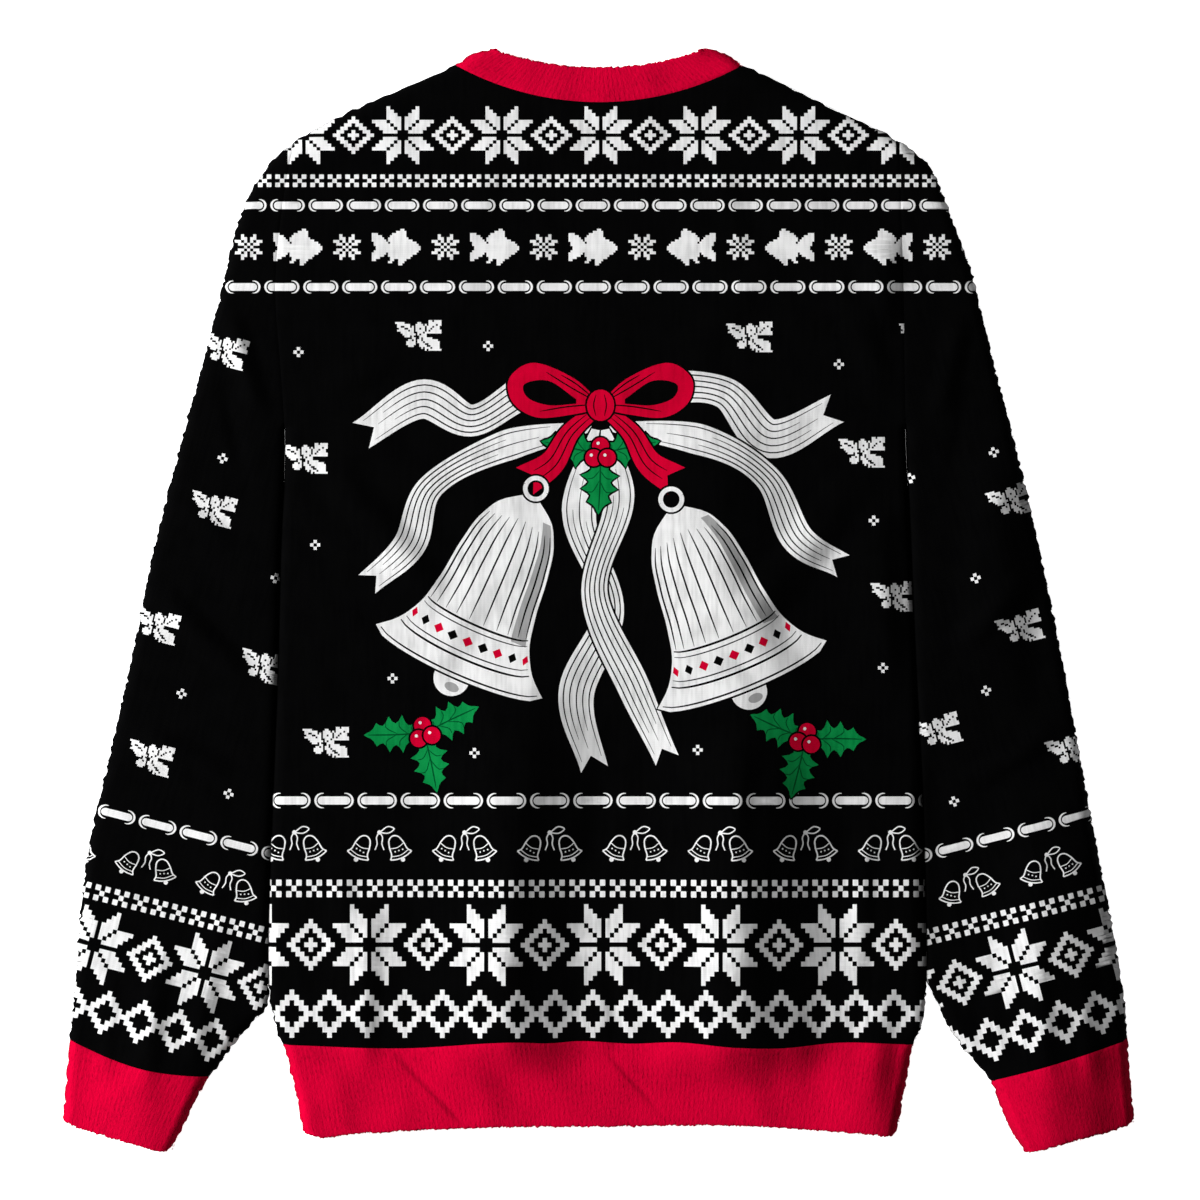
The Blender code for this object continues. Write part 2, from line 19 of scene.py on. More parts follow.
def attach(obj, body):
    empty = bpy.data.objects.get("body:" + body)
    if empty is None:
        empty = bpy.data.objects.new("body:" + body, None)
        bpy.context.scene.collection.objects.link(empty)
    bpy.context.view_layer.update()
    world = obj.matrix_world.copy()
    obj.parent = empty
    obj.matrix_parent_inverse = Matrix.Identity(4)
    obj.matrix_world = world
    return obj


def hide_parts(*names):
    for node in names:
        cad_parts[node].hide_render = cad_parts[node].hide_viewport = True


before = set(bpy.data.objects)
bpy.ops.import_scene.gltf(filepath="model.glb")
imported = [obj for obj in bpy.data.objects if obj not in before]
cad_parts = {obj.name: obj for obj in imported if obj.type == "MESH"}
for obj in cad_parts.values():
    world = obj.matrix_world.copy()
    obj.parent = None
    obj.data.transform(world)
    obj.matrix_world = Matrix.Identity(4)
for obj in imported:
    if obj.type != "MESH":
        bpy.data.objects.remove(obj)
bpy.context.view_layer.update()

MM = 0.001

# ---- sizes of the garment: its solids' own, with the seams drawn close ----
LENGTH = 728.0
THICKNESS = 8.0
CLOTH = 2.2
RIB = 2.6
SEAM_GAP = 0.06
NECK_GAP = 0.1
EDGE_ROUND = 7.0
RIB_PITCH = 3.1
RIB_RISE = 0.05
NECK_HALF = 94.7
NECK_POINT_DOWN = 11.9
BACK_NECK_DROP = 24.4
FRONT_NECK_DROP = 100.0
BAND_HEIGHT = 23.1
BAND_TOP_HALF = 70.5
BAND_TOP_DOWN = 1.0
BAND_BULGE = 2.2          # how far the neckband's folded sides bow outward
BULGE_WAY = np.array((0.45, 0.9))
BULGE_REACH = 0.07        # the share of the neckband's width over which that dies out
CUFF_BOW = {"left": 6.6, "right": 1.2}   # how far a cuff's seam bows toward the armhole
CORNER_PULL = 3.2         # how far a cuff's corners are drawn down at its end,
CORNER_SHARE = 10         # and the power by which that dies out across the cuff
BOW_FADE = 3              # the power by which a bowed line dies out along a sleeve
SHOULDER_DOWN = 62.0
ARMPIT_DOWN = 252.0
CUFF_SEAM_OUTER = 654.0
CUFF_SEAM_INNER = {"left": 678.5, "right": 681.3}
CUFF_END_OUTER, CUFF_END_INNER = 709.5, 730.0
ARMHOLE_GAP = 0.05
SLIT_OPENS = 40.0         # as far below the armpit, body and sleeve have drawn close

EDGE_COLUMNS = ("down", "left", "right")
SHOULDER = (
    (11.9, 94.7, 94.7),
    (25.1, 124.1, 123.9),
    (35.6, 149.3, 144.2),
    (46.2, 172.4, 166.6),
    (56.8, 192.3, 188.8),
    (62, 201, 198),
)
SIDE = (
    (62, 201, 198),
    (100.3, 208, 198.8),
    (159.7, 213.2, 200.6),
    (212.5, 209.9, 201.3),
    (252, 207.2, 202),
    (331.3, 209.9, 205.3),
    (410.5, 211.9, 208.6),
    (496.3, 215.2, 213.2),
    (562.3, 217.4, 215.2),
    (618, 217.6, 215.8),
    (630, 216.8, 215),
    (641, 213.9, 213.6),
    (650, 211.7, 211),
    (657.4, 208.2, 207.4),
    (678, 202.6, 203.3),
    (694.5, 198.7, 200),
    (711, 195.8, 197.3),
    (718, 193.6, 195.6),
)
OUTER = (
    (62, 201, 198),
    (72.6, 213.6, 212.6),
    (83.2, 222, 220.8),
    (99, 231.2, 227.6),
    (116.8, 238.4, 234),
    (149.8, 246.4, 246),
    (182.8, 254.6, 254.1),
    (232.3, 267.8, 266.6),
    (281.8, 281.2, 279.4),
    (331.3, 293.6, 290.6),
    (397.3, 307, 304.3),
    (463.3, 321.8, 316.4),
    (529.3, 336.8, 328.7),
    (565, 341.4, 335.8),
    (600, 344, 342),
    (628.3, 346.6, 346.4),
    (654, 349.1, 348.4),
    (677.8, 351.1, 350.2),
    (709.5, 353.4, 353),
)
INNER = (
    (602, 217.65, 215.7),
    (616, 217.75, 216.1),
    (624, 217.9, 220),
    (632, 218.7, 224.3),
    (641, 226.4, 228),
    (652, 236.6, 234.4),
    (661.5, 243.8, 241.6),
    (678.5, 256.9, 256.6),
    (694.5, 265.8, 263.5),
    (711, 273.7, 270),
    (730, 282.6, 279.4),
)
HEM_COLUMNS = ("x", "down")
HEM_SEAM = (
    (-208.2, 657.4), (-129.4, 659.7), (-53.5, 655.6), (-31.7, 656.2), (-15.8, 655),
    (23.1, 656.6), (50.2, 655.5), (92.4, 659), (117.5, 659.5), (159.7, 655.9), (207.4, 657.4),
)
HEM_END = (
    (-193.6, 714.8), (-188, 717.4), (-160, 716.2), (-118, 713.8), (-63, 711.9), (0, 711.4),
    (92, 710.9), (126, 712.6), (179, 716.6), (191, 717.4), (195.6, 714.8),
)
FOLD_COLUMNS = ("x1", "down1", "x2", "down2", "width", "height")
FOLDS = (
    (-65, 686, -57, 470, 24, 1.5),
    (87, 686, 94, 400, 28, 1.8),
    (-156, 676, -154, 560, 14, 1),
    (176, 704, 190, 600, 16, 1.2),
    (-188, 268, -96, 372, 18, 1.9),
    (184, 266, 88, 392, 20, 2),
    (-196, 236, -120, 196, 15, 1.2),
    (192, 236, 150, 130, 15, 1.5),
    (-60, 44, -92, 150, 14, 0.6),
    (64, 46, 104, 158, 14, 0.6),
    (-222, 250, -246, 168, 12, 2.4),
    (222, 252, 240, 170, 12, 2.2),
    (-228, 420, -296, 356, 14, 2.6),
    (226, 404, 290, 344, 14, 2.4),
    (-236, 480, -312, 452, 13, 2.2),
    (232, 492, 308, 446, 13, 2.4),
    (-272, 690, -246, 560, 11, 1.2),
    (-300, 692, -288, 582, 12, 1.3),
    (-328, 690, -320, 600, 11, 1),
    (268, 690, 246, 566, 11, 1.2),
    (296, 692, 284, 574, 12, 1.3),
    (326, 690, 316, 604, 11, 0.9),
)
FOLD_FADE = 0.34          # the share of a fold's length over which each end dies out

# the long drapes of the upper layer, from their lower to their upper end: each falls off over
# one width on its right and over another on its left, and its lower end has a fade of its own
DRAPE_COLUMNS = FOLD_COLUMNS + ("left_width", "low_fade")
DRAPES = (
    (-65, 690, -54, 370, 58, 5.6, 66, 0.11),
    (87, 690, 94, 400, 76, 8.2, 70, 0.12),
    (95, 470, 66, 210, 56, 3, 60, 0.4),
    (-156, 684, -154, 540, 16, 0.7, 28, 0.2),
    (172, 800, 177, 640, 40, 2.8, 40, 0.1),
    (190, 440, 184, 290, 16, 2.2, 30, 0.34),
    (187, 196, 188, 112, 16, 2.4, 24, 0.34),
    (296, 800, 292, 430, 78, 7.2, 44, 0.1),
    (262, 440, 262, 230, 32, 4, 32, 0.34),
    (-326, 790, -276, 580, 66, 3, 38, 0.1),
)
# hollows where the cloth sinks beside another edge, which also get painted shade there
HOLLOWS = (
    (219, 650, 218, 430, 15, -1.6),
)
# finer creases of the upper layer: troughs where the height is negative
CREASES = (
    (14, 670, 8, 604, 10, -0.7),
    (-76, 668, -84, 600, 10, 0.5),
    (-82, 716, -140, 656, 4.2, -0.4),
    (44, 704, 2, 658, 4.2, -0.35),
    (-52, 722, -112, 650, 22, 0.8),
    (128, 722, 60, 652, 20, 0.7),
    (-166, 724, -180, 660, 14, 0.5),
    (-8, 560, 16, 420, 16, -0.8),
    (96, 560, 108, 450, 12, -0.9),
    (168, 640, 176, 500, 12, 1),
    (-172, 640, -168, 520, 13, 0.8),
    (-150, 470, -60, 330, 20, 0.8),
    (150, 452, 40, 300, 22, 0.9),
    (-120, 120, -40, 230, 18, 0.5),
    (130, 118, 50, 220, 18, 0.6),
    (-30, 60, -24, 170, 15, -0.4),
    (-238, 330, -282, 300, 11, 0.9),
    (236, 322, 274, 288, 11, 0.9),
    (-246, 560, -322, 520, 12, -0.8),
    (246, 566, 318, 532, 12, -0.8),
    (-232, 290, -250, 210, 8, -0.7),
    (230, 292, 246, 216, 8, -0.7),
)
# shallow creases of the side that the garment lies on, all troughs into the cloth
UNDER_CREASES = (
    (-92, 690, -80, 520, 12, 0.5),
    (54, 700, 44, 540, 14, 0.6),
    (150, 690, 158, 560, 10, 0.4),
    (-186, 276, -110, 380, 14, 0.6),
    (182, 270, 100, 360, 15, 0.5),
    (-232, 440, -296, 380, 11, 0.6),
    (230, 428, 290, 372, 11, 0.5),
    (-286, 686, -262, 590, 8, 0.5),
    (282, 688, 262, 596, 8, 0.5),
)

# ---- how finely the cloth is divided, and its small relief ----
EDGE_STEP = 1.0           # length of the line pieces that stand for a folded edge
NEAR_EDGE = 1.0           # as far as this outside a folded edge, a point counts as on it
ON_EDGE = 0.02            # and as near to it, too
OUTLINE_STEP = 1.6
UPPER_GRID, LOWER_GRID, INNER_GRID = 3.3, 5.0, 6.5   # steps of the nets of points on each face
CURL_ANGLES = (18.0, 36.0, 54.0, 72.0, 90.0)   # degrees round a fold at which there are points
SEAM_RINGS = (0.7, 1.6, 2.6)
SEAM_ROLL = 0.35          # how far the cloth dips into its seams
SEAM_WIDTH = 2.4
RIPPLE = 0.16             # height of the cloth's faint unevenness
RIPPLE_WAVES = (14, 26.0, 90.0)
FRAY = 0.6                # how far a folded edge wanders from its line
FRAY_WAVES = (18, 3.2, 13.0)
# where body and sleeve meet, and no edge wanders: distance from the centre line and heights
BETWEEN_REACH, BETWEEN_DOWN = 226.0, (112.0, 618.0)
MERGE_CLOTH, MERGE_BAND = 0.002, 0.0005   # points as near as this become one
PILE = 0.12               # how far the pattern's yarn stands over the ground
PILE_ROOT = 0.06          # and how deep it is rooted
SHARP_ANGLE = 60.0        # an edge that turns by more is drawn sharp
WALE, COURSE = 1.45, 1.2  # width and height of a stitch
LEE_STEP, LEE_FALL = 1.0, 0.17   # the fall of a fold away from the light at which its painted shade is full
HOLLOW_DEPTH = 1.3        # the depth of a hollow that gets as much painted shade
PAINTED_SHADE = 0.42          # how much darker the painted shade makes the colour there
BUILD_SEED = 11
# how a sleeve's middle line is found: levels, reach of each, and how far it stays from either end
HEART_LEVELS, HEART_REACH, HEART_ENDS = 120, 14.0, (20.0, 60.0)

# ---- the pattern: sizes in millimetres ----
STAR_YOKE_CELL = (2.39, 2.24)
STAR_HEM_CELL = (2.83, 3.14)
DIAMOND_YOKE_CELL = (2.46, 2.24)
DIAMOND_HEM_CELL = (2.87, 3.08)
YOKE_CROSS = (9.0, 8.3, 0.355, 0.34)      # width, height, share of a corner square and of the middle one
HEM_CROSS = (10.3, 11.6, 0.35, 0.32)
CROSS_CLIP = 0.84         # the share of a square's side that its clipped corners leave
# links: length and height of the bar, height of the crescents and length over all
YOKE_LINK, LOW_YOKE_LINK, HEM_LINK = (18.0, 4.9, 8.1, 22.7), (18.6, 5.1, 8.5, 23.2), (21.6, 5.4, 10.2, 26.0)
LINK_WIDTH = 1.5          # width of a crescent in its middle
CHAIN_CELL = (1.55, 3.535)
FLAKE_CELL = (2.01, 1.87)
FISH_CELL = (1.34, 1.42)
SPRIG_CELL = (1.22, 1.26)
DOT_CELL = (2.2, 2.2)
# rows: down, first place beside the centre line, period
YOKE_STARS = (58.1, 1.2, 65.2)
YOKE_CROSSES = (88.1, -1.4, 11.52)
YOKE_LINKS = (104.3, -4.0, 25.15)
FISH_ROW = (131.8, -4.0, 64.8)
FISH_MEET = 20.0          # the fish beyond this place face the other way
LOW_YOKE_LINKS = (158.1, -3.8, 25.64)
HEM_LINKS = (496.4, -4.0, 28.43)
BAUBLE_ROW = (526.0, -32.4, 56.1)
HEM_CROSSES = (554.3, -1.0, 13.33)
HEM_STARS = (591.4, 2.9, 77.1)
CHAIN_ROW = (636.8, -4.0, 24.79)
YOKE_REACH, BODY_REACH, SLEEVE_REACH = 280.0, 260.0, 170.0   # how far the rows run to either side
SLEEVE_TURN = 14.3        # degrees by which a sleeve's lower rows are turned
SLEEVE_ROW_SCALE = (0.977, 0.914)
SLEEVE_STAR = {"left": (-259.6, 610.0), "right": (274.0, 606.9)}
# where the first motif of a sleeve's links, bells, crosses and chain stands along its row
SLEEVE_FIRST = {"left": (4.1, 2.9, 2.3, -6.2), "right": (11.9, -13.9, 7.8, 0.2)}

BODY_SPRIGS = (
    (-119, 190), (99, 191), (213, 191), (-24, 209), (-194, 271), (-85, 257), (173, 267),
    (-164, 376), (-86, 416), (94, 430), (-180, 458), (189, 458), (-16, 462), (194, 362),
)
BODY_DOTS = (
    (-198, 201), (-73, 197), (60, 211), (158, 209), (-121, 231), (-50, 248), (181, 312),
    (-187, 328), (-98, 370), (187, 409), (-136, 416), (-82, 465), (65, 463), (142, 453),
)
SLEEVE_SPRIGS = {
    "left": ((-247, 200), (-255, 304), (-292, 381), (-222, 408), (-296, 468)),
    "right": ((271, 299), (277, 383), (223, 451), (310, 463)),
}
SLEEVE_DOTS = {
    "left": ((-248, 271), (-213, 350), (-275, 426), (-244, 492)),
    "right": ((260, 267), (205, 284), (248, 350), (255, 424), (234, 497)),
}

SNOWFLAKE = (
    "..#...#..",
    "..##.##..",
    "##.#.#.##",
    ".##.#.##.",
    "...#.#...",
    ".##.#.##.",
    "##.#.#.##",
    "..##.##..",
    "..#...#..",
)
CHAIN = (
    ".......##.......",
    ".....######.....",
    "...####..####...",
    ".####......####.",
    "###..........###",
    ".####......####.",
    "...####..####...",
    ".....######.....",
    ".......##.......",
)
FISH = (
    "..............##........",
    "............#####.......",
    "###.......#######.......",
    "#####....########.......",
    "######..##########......",
    "#######.############....",
    ".#######.#############..",
    ".######################.",
    "..######################",
    "..######################",
    ".######################.",
    "#######.##############..",
    "######..############....",
    "####.....##########.....",
    "##.......##..####.......",
    "........##...###........",
    ".............##.........",
)
SPRIG = (
    "..................##.####",
    "#####.......##....#######",
    ".#######...####.#.####.##",
    ".##..###.#.#####.###.###.",
    "..###..###.##.##.##.####.",
    ".######.##.#####.#.######",
    "...#######..###.#########",
    "....#######.#.###........",
    ".....###.#...####........",
    ".........##..#.#####.....",
    ".......##.#.##.########..",
    "......#####.###.########.",
    "......#####..###..######.",
    ".......###...####..#####.",
    "..............#.###.####.",
    "................#.#######",
)
DOTS = (".#.", "#.#", ".#.")


# ---- plan of the garment ----

def column(table, names, name):
    """One named column of a table."""
    return np.array([row[names.index(name)] for row in table])


def smooth(at, xs, ys):
    """A smooth curve through the rows of a table, read at one place or many."""
    at = np.asarray(at, dtype=float)
    slopes = np.gradient(ys, xs)
    i = np.clip(np.searchsorted(xs, at, side="right") - 1, 0, len(xs) - 2)
    step = xs[i + 1] - xs[i]
    t = np.clip((at - xs[i]) / step, 0.0, 1.0)
    rise_a = (1 + 2 * t) * (1 - t) ** 2 * ys[i] + t * (1 - t) ** 2 * step * slopes[i]
    rise_b = t * t * (3 - 2 * t) * ys[i + 1] + t * t * (t - 1) * step * slopes[i + 1]
    return rise_a + rise_b


def read(table, names, of, name, at):
    """A table's column `name`, smoothly, where its column `of` has the value `at`."""
    return smooth(at, column(table, names, of), column(table, names, name))


def sign(side):
    """-1 for the viewer's left, 1 for the right."""
    return -1.0 if side == "left" else 1.0


def plan(x, down):
    """Points in plan, with the origin in the middle of the garment."""
    x, down = np.broadcast_arrays(np.asarray(x, float), np.asarray(down, float))
    return np.stack([x, LENGTH / 2 - down], axis=-1)


def turned(degrees):
    """The matrix that turns rows of points counter-clockwise."""
    c, s = math.cos(math.radians(degrees)), math.sin(math.radians(degrees))
    return np.array([[c, s], [-s, c]])


def edge_line(table, side, down):
    """A place on one of the garment's long edges."""
    return plan(sign(side) * read(table, EDGE_COLUMNS, "down", side, down), down)


def inner_edge(side, down):
    """The sleeve's inner edge: close along the body, then its own line to the cuff."""
    down = np.asarray(down, float)
    opened = np.clip((down - ARMPIT_DOWN) / SLIT_OPENS, 0.0, 1.0)
    beside = read(SIDE, EDGE_COLUMNS, "down", side, down)
    beside = beside + ARMHOLE_GAP - ARMHOLE_GAP * opened
    free = read(INNER, EDGE_COLUMNS, "down", side, down)
    first = column(INNER, EDGE_COLUMNS, "down")[0]
    return plan(sign(side) * np.where(down < first, beside, free), down)


def band_side(side, along):
    """The neckband's folded side, bowed outward, from the shoulder seam to the top corner."""
    along = np.asarray(along, float)[..., None]
    corner = plan(sign(side) * BAND_TOP_HALF, BAND_TOP_DOWN)
    outward = BULGE_WAY * (sign(side), 1.0)
    start = neck_point(side)
    return start + (corner - start) * along + BAND_BULGE * np.sin(math.pi * along) * outward


def neck_point(side):
    """Where the shoulder seam meets the neckband."""
    return plan(sign(side) * NECK_HALF, NECK_POINT_DOWN)


def arc(s, half, end_down, drop):
    """A shallow circular arc between x = -half and x = +half that sags by `drop`."""
    radius = (half * half + drop * drop) / (2 * drop)
    widest = math.asin(half / radius)
    angle = widest * (2 * np.asarray(s, float) - 1)
    return plan(radius * np.sin(angle), end_down + drop - radius * (1 - np.cos(angle)))


def bowl(s, half, end_down, drop):
    """A deep half ellipse, as the front neckline."""
    angle = math.pi * np.asarray(s, float)
    return plan(-half * np.cos(angle), end_down + drop * np.sin(angle))


def hem_seam(x, way):
    """How far down the hem seam lies: wavy in the upper layer, straight in the lower."""
    if way < 0:
        return np.full_like(x, HEM_SEAM[0][1])
    return read(HEM_SEAM, HEM_COLUMNS, "x", "down", x)


def sleeve_point(side, along, across):
    """A place on a sleeve: `along` from armhole to cuff seam, `across` from outer to inner."""
    outer = edge_line(OUTER, side, SHOULDER_DOWN + (CUFF_SEAM_OUTER - SHOULDER_DOWN) * along)
    inner = inner_edge(side, ARMPIT_DOWN + (CUFF_SEAM_INNER[side] - ARMPIT_DOWN) * along)
    straight = outer + (inner - outer) * across[..., None]
    hole = edge_line(SIDE, side, SHOULDER_DOWN + (ARMPIT_DOWN - SHOULDER_DOWN) * across)
    hole[..., 0] += sign(side) * ARMHOLE_GAP
    first = edge_line(OUTER, side, SHOULDER_DOWN)
    chord = first + (inner_edge(side, ARMPIT_DOWN) - first) * across[..., None]
    bow = (hole - chord) * ((1 - along) ** BOW_FADE)[..., None]
    bow[..., 1] -= CUFF_BOW[side] * np.sin(math.pi * across) * along ** BOW_FADE
    return straight + bow


def cuff_point(side, along, across):
    """A place on a cuff: `along` from its seam to its end."""
    outer = edge_line(OUTER, side, CUFF_SEAM_OUTER + (CUFF_END_OUTER - CUFF_SEAM_OUTER) * along)
    inner = inner_edge(side, CUFF_SEAM_INNER[side] + (CUFF_END_INNER - CUFF_SEAM_INNER[side]) * along)
    straight = outer + (inner - outer) * across[..., None]
    straight[..., 1] -= CUFF_BOW[side] * np.sin(math.pi * across) * (1 - along)
    straight[..., 1] += CORNER_PULL * np.abs(2 * across - 1) ** CORNER_SHARE * along ** BOW_FADE
    straight[..., 1] -= SEAM_GAP * (1 - along)
    return straight


def hem_point(along, across, way):
    """A place on the hem band: `along` from its seam to its lower edge."""
    seam_x = HEM_SEAM[0][0] + (HEM_SEAM[-1][0] - HEM_SEAM[0][0]) * across
    end_x = HEM_END[0][0] + (HEM_END[-1][0] - HEM_END[0][0]) * across
    seam_down = hem_seam(seam_x, way) + SEAM_GAP / 2
    end_down = read(HEM_END, HEM_COLUMNS, "x", "down", end_x)
    down = seam_down + (end_down - seam_down) * along
    edge_down = HEM_SEAM[0][1] + (HEM_END[0][1] - HEM_SEAM[0][1]) * along
    left, right = edge_line(SIDE, "left", edge_down)[..., 0], edge_line(SIDE, "right", edge_down)[..., 0]
    return plan(left + (right - left) * across, down)


# ---- how the cloth lies ----

def samples(first, last, step):
    """Heights from first to last, about one step apart."""
    return np.linspace(first, last, int(abs(last - first) / step) + 2)


class FoldedEdges:
    """Every edge at which the cloth of a body piece or of a sleeve turns over."""

    def __init__(self, piece):
        lines = []
        for side in ("left", "right"):
            shoulder = edge_line(SHOULDER, side, samples(NECK_POINT_DOWN, SHOULDER_DOWN, EDGE_STEP))
            outer = edge_line(OUTER, side, samples(SHOULDER_DOWN, CUFF_END_OUTER, EDGE_STEP))
            lines += [band_side(side, np.linspace(0.0, 1.0, 17)), shoulder, outer]
            if piece == "body":
                lines.append(edge_line(SIDE, side, samples(ARMPIT_DOWN, SIDE[-1][0], EDGE_STEP)))
            else:
                lines.append(inner_edge(side, samples(ARMPIT_DOWN, CUFF_END_INNER, EDGE_STEP)))
        self.pieces = np.concatenate([np.stack([p[:-1], p[1:]], axis=1) for p in lines])
        self.tree = kdtree.KDTree(len(self.pieces))
        for i, (start, end) in enumerate(self.pieces):
            middle = (start + end) / 2
            self.tree.insert((middle[0], middle[1], 0.0), i)
        self.tree.balance()

    def measure(self, points, heart):
        """Distance from each point to the nearest fold, and the way in from there."""
        near = [[hit[1] for hit in self.tree.find_n((p[0], p[1], 0.0), 3)] for p in points]
        picked = self.pieces[np.array(near)]
        start, along = picked[:, :, 0], picked[:, :, 1] - picked[:, :, 0]
        t = ((points[:, None] - start) * along).sum(-1) / (along * along).sum(-1)
        nearest = start + np.clip(t, 0.0, 1.0)[..., None] * along
        distance = np.linalg.norm(points[:, None] - nearest, axis=-1)
        best, row = distance.argmin(axis=1), np.arange(len(points))
        distance, nearest = distance[row, best], nearest[row, best]
        inward = (points - nearest) / np.maximum(distance, ON_EDGE)[:, None]
        square = along[row, best][:, ::-1] * (1.0, -1.0)
        square = square / np.linalg.norm(square, axis=-1, keepdims=True)
        square = square * np.sign((square * (heart - points)).sum(-1, keepdims=True))
        outside = (distance < NEAR_EDGE) & ((square * inward).sum(-1) < 0)
        on_edge = outside | (distance < ON_EDGE)
        return np.where(on_edge, 0.0, distance), np.where(on_edge[:, None], square, inward)


EDGES = {"body": FoldedEdges("body"), "sleeve": FoldedEdges("sleeve")}


def waves(points, count, shortest, longest, seed):
    """A smooth uneven field between about -1 and 1, the same at the same place each run."""
    draw = np.random.default_rng(seed)
    lengths = shortest * (longest / shortest) ** draw.random(count)
    turns = draw.random(count) * 2 * math.pi
    starts = draw.random(count) * 2 * math.pi
    total = np.zeros(points.shape[:-1])
    for length, turn, start in zip(lengths, turns, starts):
        place = points @ np.array([math.cos(turn), math.sin(turn)])
        total += np.sin(2 * math.pi * place / length + start)
    return total / math.sqrt(count)


def fold_height(points, table):
    """Height that a table of soft folds adds."""
    total = np.zeros(points.shape[:-1])
    for row in table:
        fold = dict(zip(DRAPE_COLUMNS, row))
        start, end = plan(fold["x1"], fold["down1"]), plan(fold["x2"], fold["down2"])
        along = end - start
        t = ((points - start) @ along) / (along @ along)
        away = points - start - np.clip(t, 0.0, 1.0)[..., None] * along
        across = np.linalg.norm(away, axis=-1)
        on_right = away @ np.array([along[1], -along[0]]) > 0
        width = np.where(on_right, fold["width"], fold.get("left_width", fold["width"]))
        fade = np.clip(np.minimum(t / fold.get("low_fade", FOLD_FADE), (1 - t) / FOLD_FADE), 0.0, 1.0)
        fade = fade * fade * (3 - 2 * fade)
        total += fold["height"] * fade * (1 + np.cos(math.pi * np.minimum(across / width, 1.0))) / 2
    return total


def upper_lift(points):
    """How far the folds lift the upper layer."""
    lift = sum(fold_height(points, table) for table in (FOLDS, CREASES, DRAPES, HOLLOWS))
    return lift + RIPPLE * waves(points, *RIPPLE_WAVES, BUILD_SEED)


def lee(points):
    """Painted shade from the folds at each point: up to 1 where the cloth falls away from the light (to +X),
    more in a hollow.
    """
    step = np.array([LEE_STEP, 0.0])
    fall = (upper_lift(points - step) - upper_lift(points + step)) / (2 * LEE_STEP)
    return np.clip(fall / LEE_FALL, 0.0, 1.0) - fold_height(points, HOLLOWS) / HOLLOW_DEPTH


def lie(points, kind, heart, wall, way, rise=0.0, dip=0.0, parted=0.0):
    """Outer and inner places of cloth at points in plan.

    `way` is 1 for the upper layer and -1 for the lower one. `rise` lifts the outer face alone,
    and `dip` sinks it, as into a seam. `parted` holds the layers apart at a folded edge.
    """
    flat = points.reshape(-1, 2)
    distance, inward = EDGES[kind].measure(flat, np.broadcast_to(heart, points.shape).reshape(-1, 2))
    distance, inward = distance.reshape(points.shape[:-1]), inward.reshape(points.shape)
    turn = np.clip(1 - distance / EDGE_ROUND, 0.0, 1.0)
    level = np.sqrt(1 - turn * turn)
    middle = THICKNESS / 2
    lift = upper_lift(points) if way > 0 else fold_height(points, UNDER_CREASES)
    lift = lift * level ** 2
    parted = way * parted * turn
    outer_z = middle + way * (middle + rise - dip) * level + parted + lift
    inner_z = middle + way * (middle - wall) * level + parted + lift
    down = LENGTH / 2 - points[..., 1]
    between = (np.abs(points[..., 0]) < BETWEEN_REACH) & (down > BETWEEN_DOWN[0]) & (down < BETWEEN_DOWN[1])
    wander = np.stack([waves(points, *FRAY_WAVES, BUILD_SEED + k) for k in (1, 2)], axis=-1)
    stray = FRAY * np.where(between, 0.0, turn ** 2)[..., None] * wander
    inner_plan = points + stray + inward * (wall * turn)[..., None]
    outer = np.concatenate([points + stray, outer_z[..., None]], axis=-1)
    inner = np.concatenate([inner_plan, inner_z[..., None]], axis=-1)
    return outer, inner


# ---- flat shapes, each a list of (slot, loop of points) ----

def box_loop(x0, y0, x1, y1):
    """A rectangle."""
    return np.array([(x0, y0), (x1, y0), (x1, y1), (x0, y1)])


def chart(rows, cell):
    """A knitting chart, centred: one rectangle for each run of marked stitches."""
    wide, high = cell
    left, top = -len(rows[0]) * wide / 2, len(rows) * high / 2
    loops = []
    for r, row in enumerate(rows):
        c = 0
        while c < len(row):
            end = c
            while end < len(row) and row[end] == "#":
                end += 1
            if end > c:
                low = top - (r + 1) * high
                loops.append(box_loop(left + c * wide, low, left + end * wide, top - r * high))
            c = end + 1
    return loops


def star_rows():
    """The eight-pointed star's chart, by rule: eight slanted petals round two black lines."""
    reach = range(-8, 9)

    def stitch(u, v):
        near, far = sorted((abs(u), abs(v)))
        return 1 <= near <= 4 and near < far <= near + 4

    return ["".join("#" if stitch(u, v) else "." for u in reach) for v in reach]


def diamond_rows():
    """A diamond's chart: a ring round a small cross."""
    reach = range(-5, 6)
    return ["".join("#" if abs(u) + abs(v) in (0, 1, 4, 5) else "." for u in reach) for v in reach]


def disc(x, y, radius, count=20, squash=1.0):
    """A round loop."""
    angle = np.linspace(0.0, 2 * math.pi, count, endpoint=False)
    return np.stack([x + radius * np.cos(angle), y + squash * radius * np.sin(angle)], axis=-1)


def curve(points, step=0.12):
    """A smooth line through a few points."""
    points = np.asarray(points, float)
    at = np.arange(len(points))
    fine = np.linspace(0, len(points) - 1, int((len(points) - 1) / step) + 1)
    return np.stack([smooth(fine, at, points[:, k]) for k in (0, 1)], axis=-1)


def ways(line):
    """The way on and the way to the left at each point of a line."""
    along = np.gradient(line, axis=0)
    along /= np.linalg.norm(along, axis=1, keepdims=True)
    return along, along[:, ::-1] * (-1.0, 1.0)


def stroke(line, width, taper=0.0):
    """A line with a width, thinner at its ends by `taper`."""
    line = np.asarray(line, float)
    left = ways(line)[1]
    t = np.linspace(-1.0, 1.0, len(line))[:, None]
    half = width / 2 * (1 - taper * t ** 4)
    return np.concatenate([line + left * half, (line - left * half)[::-1]])


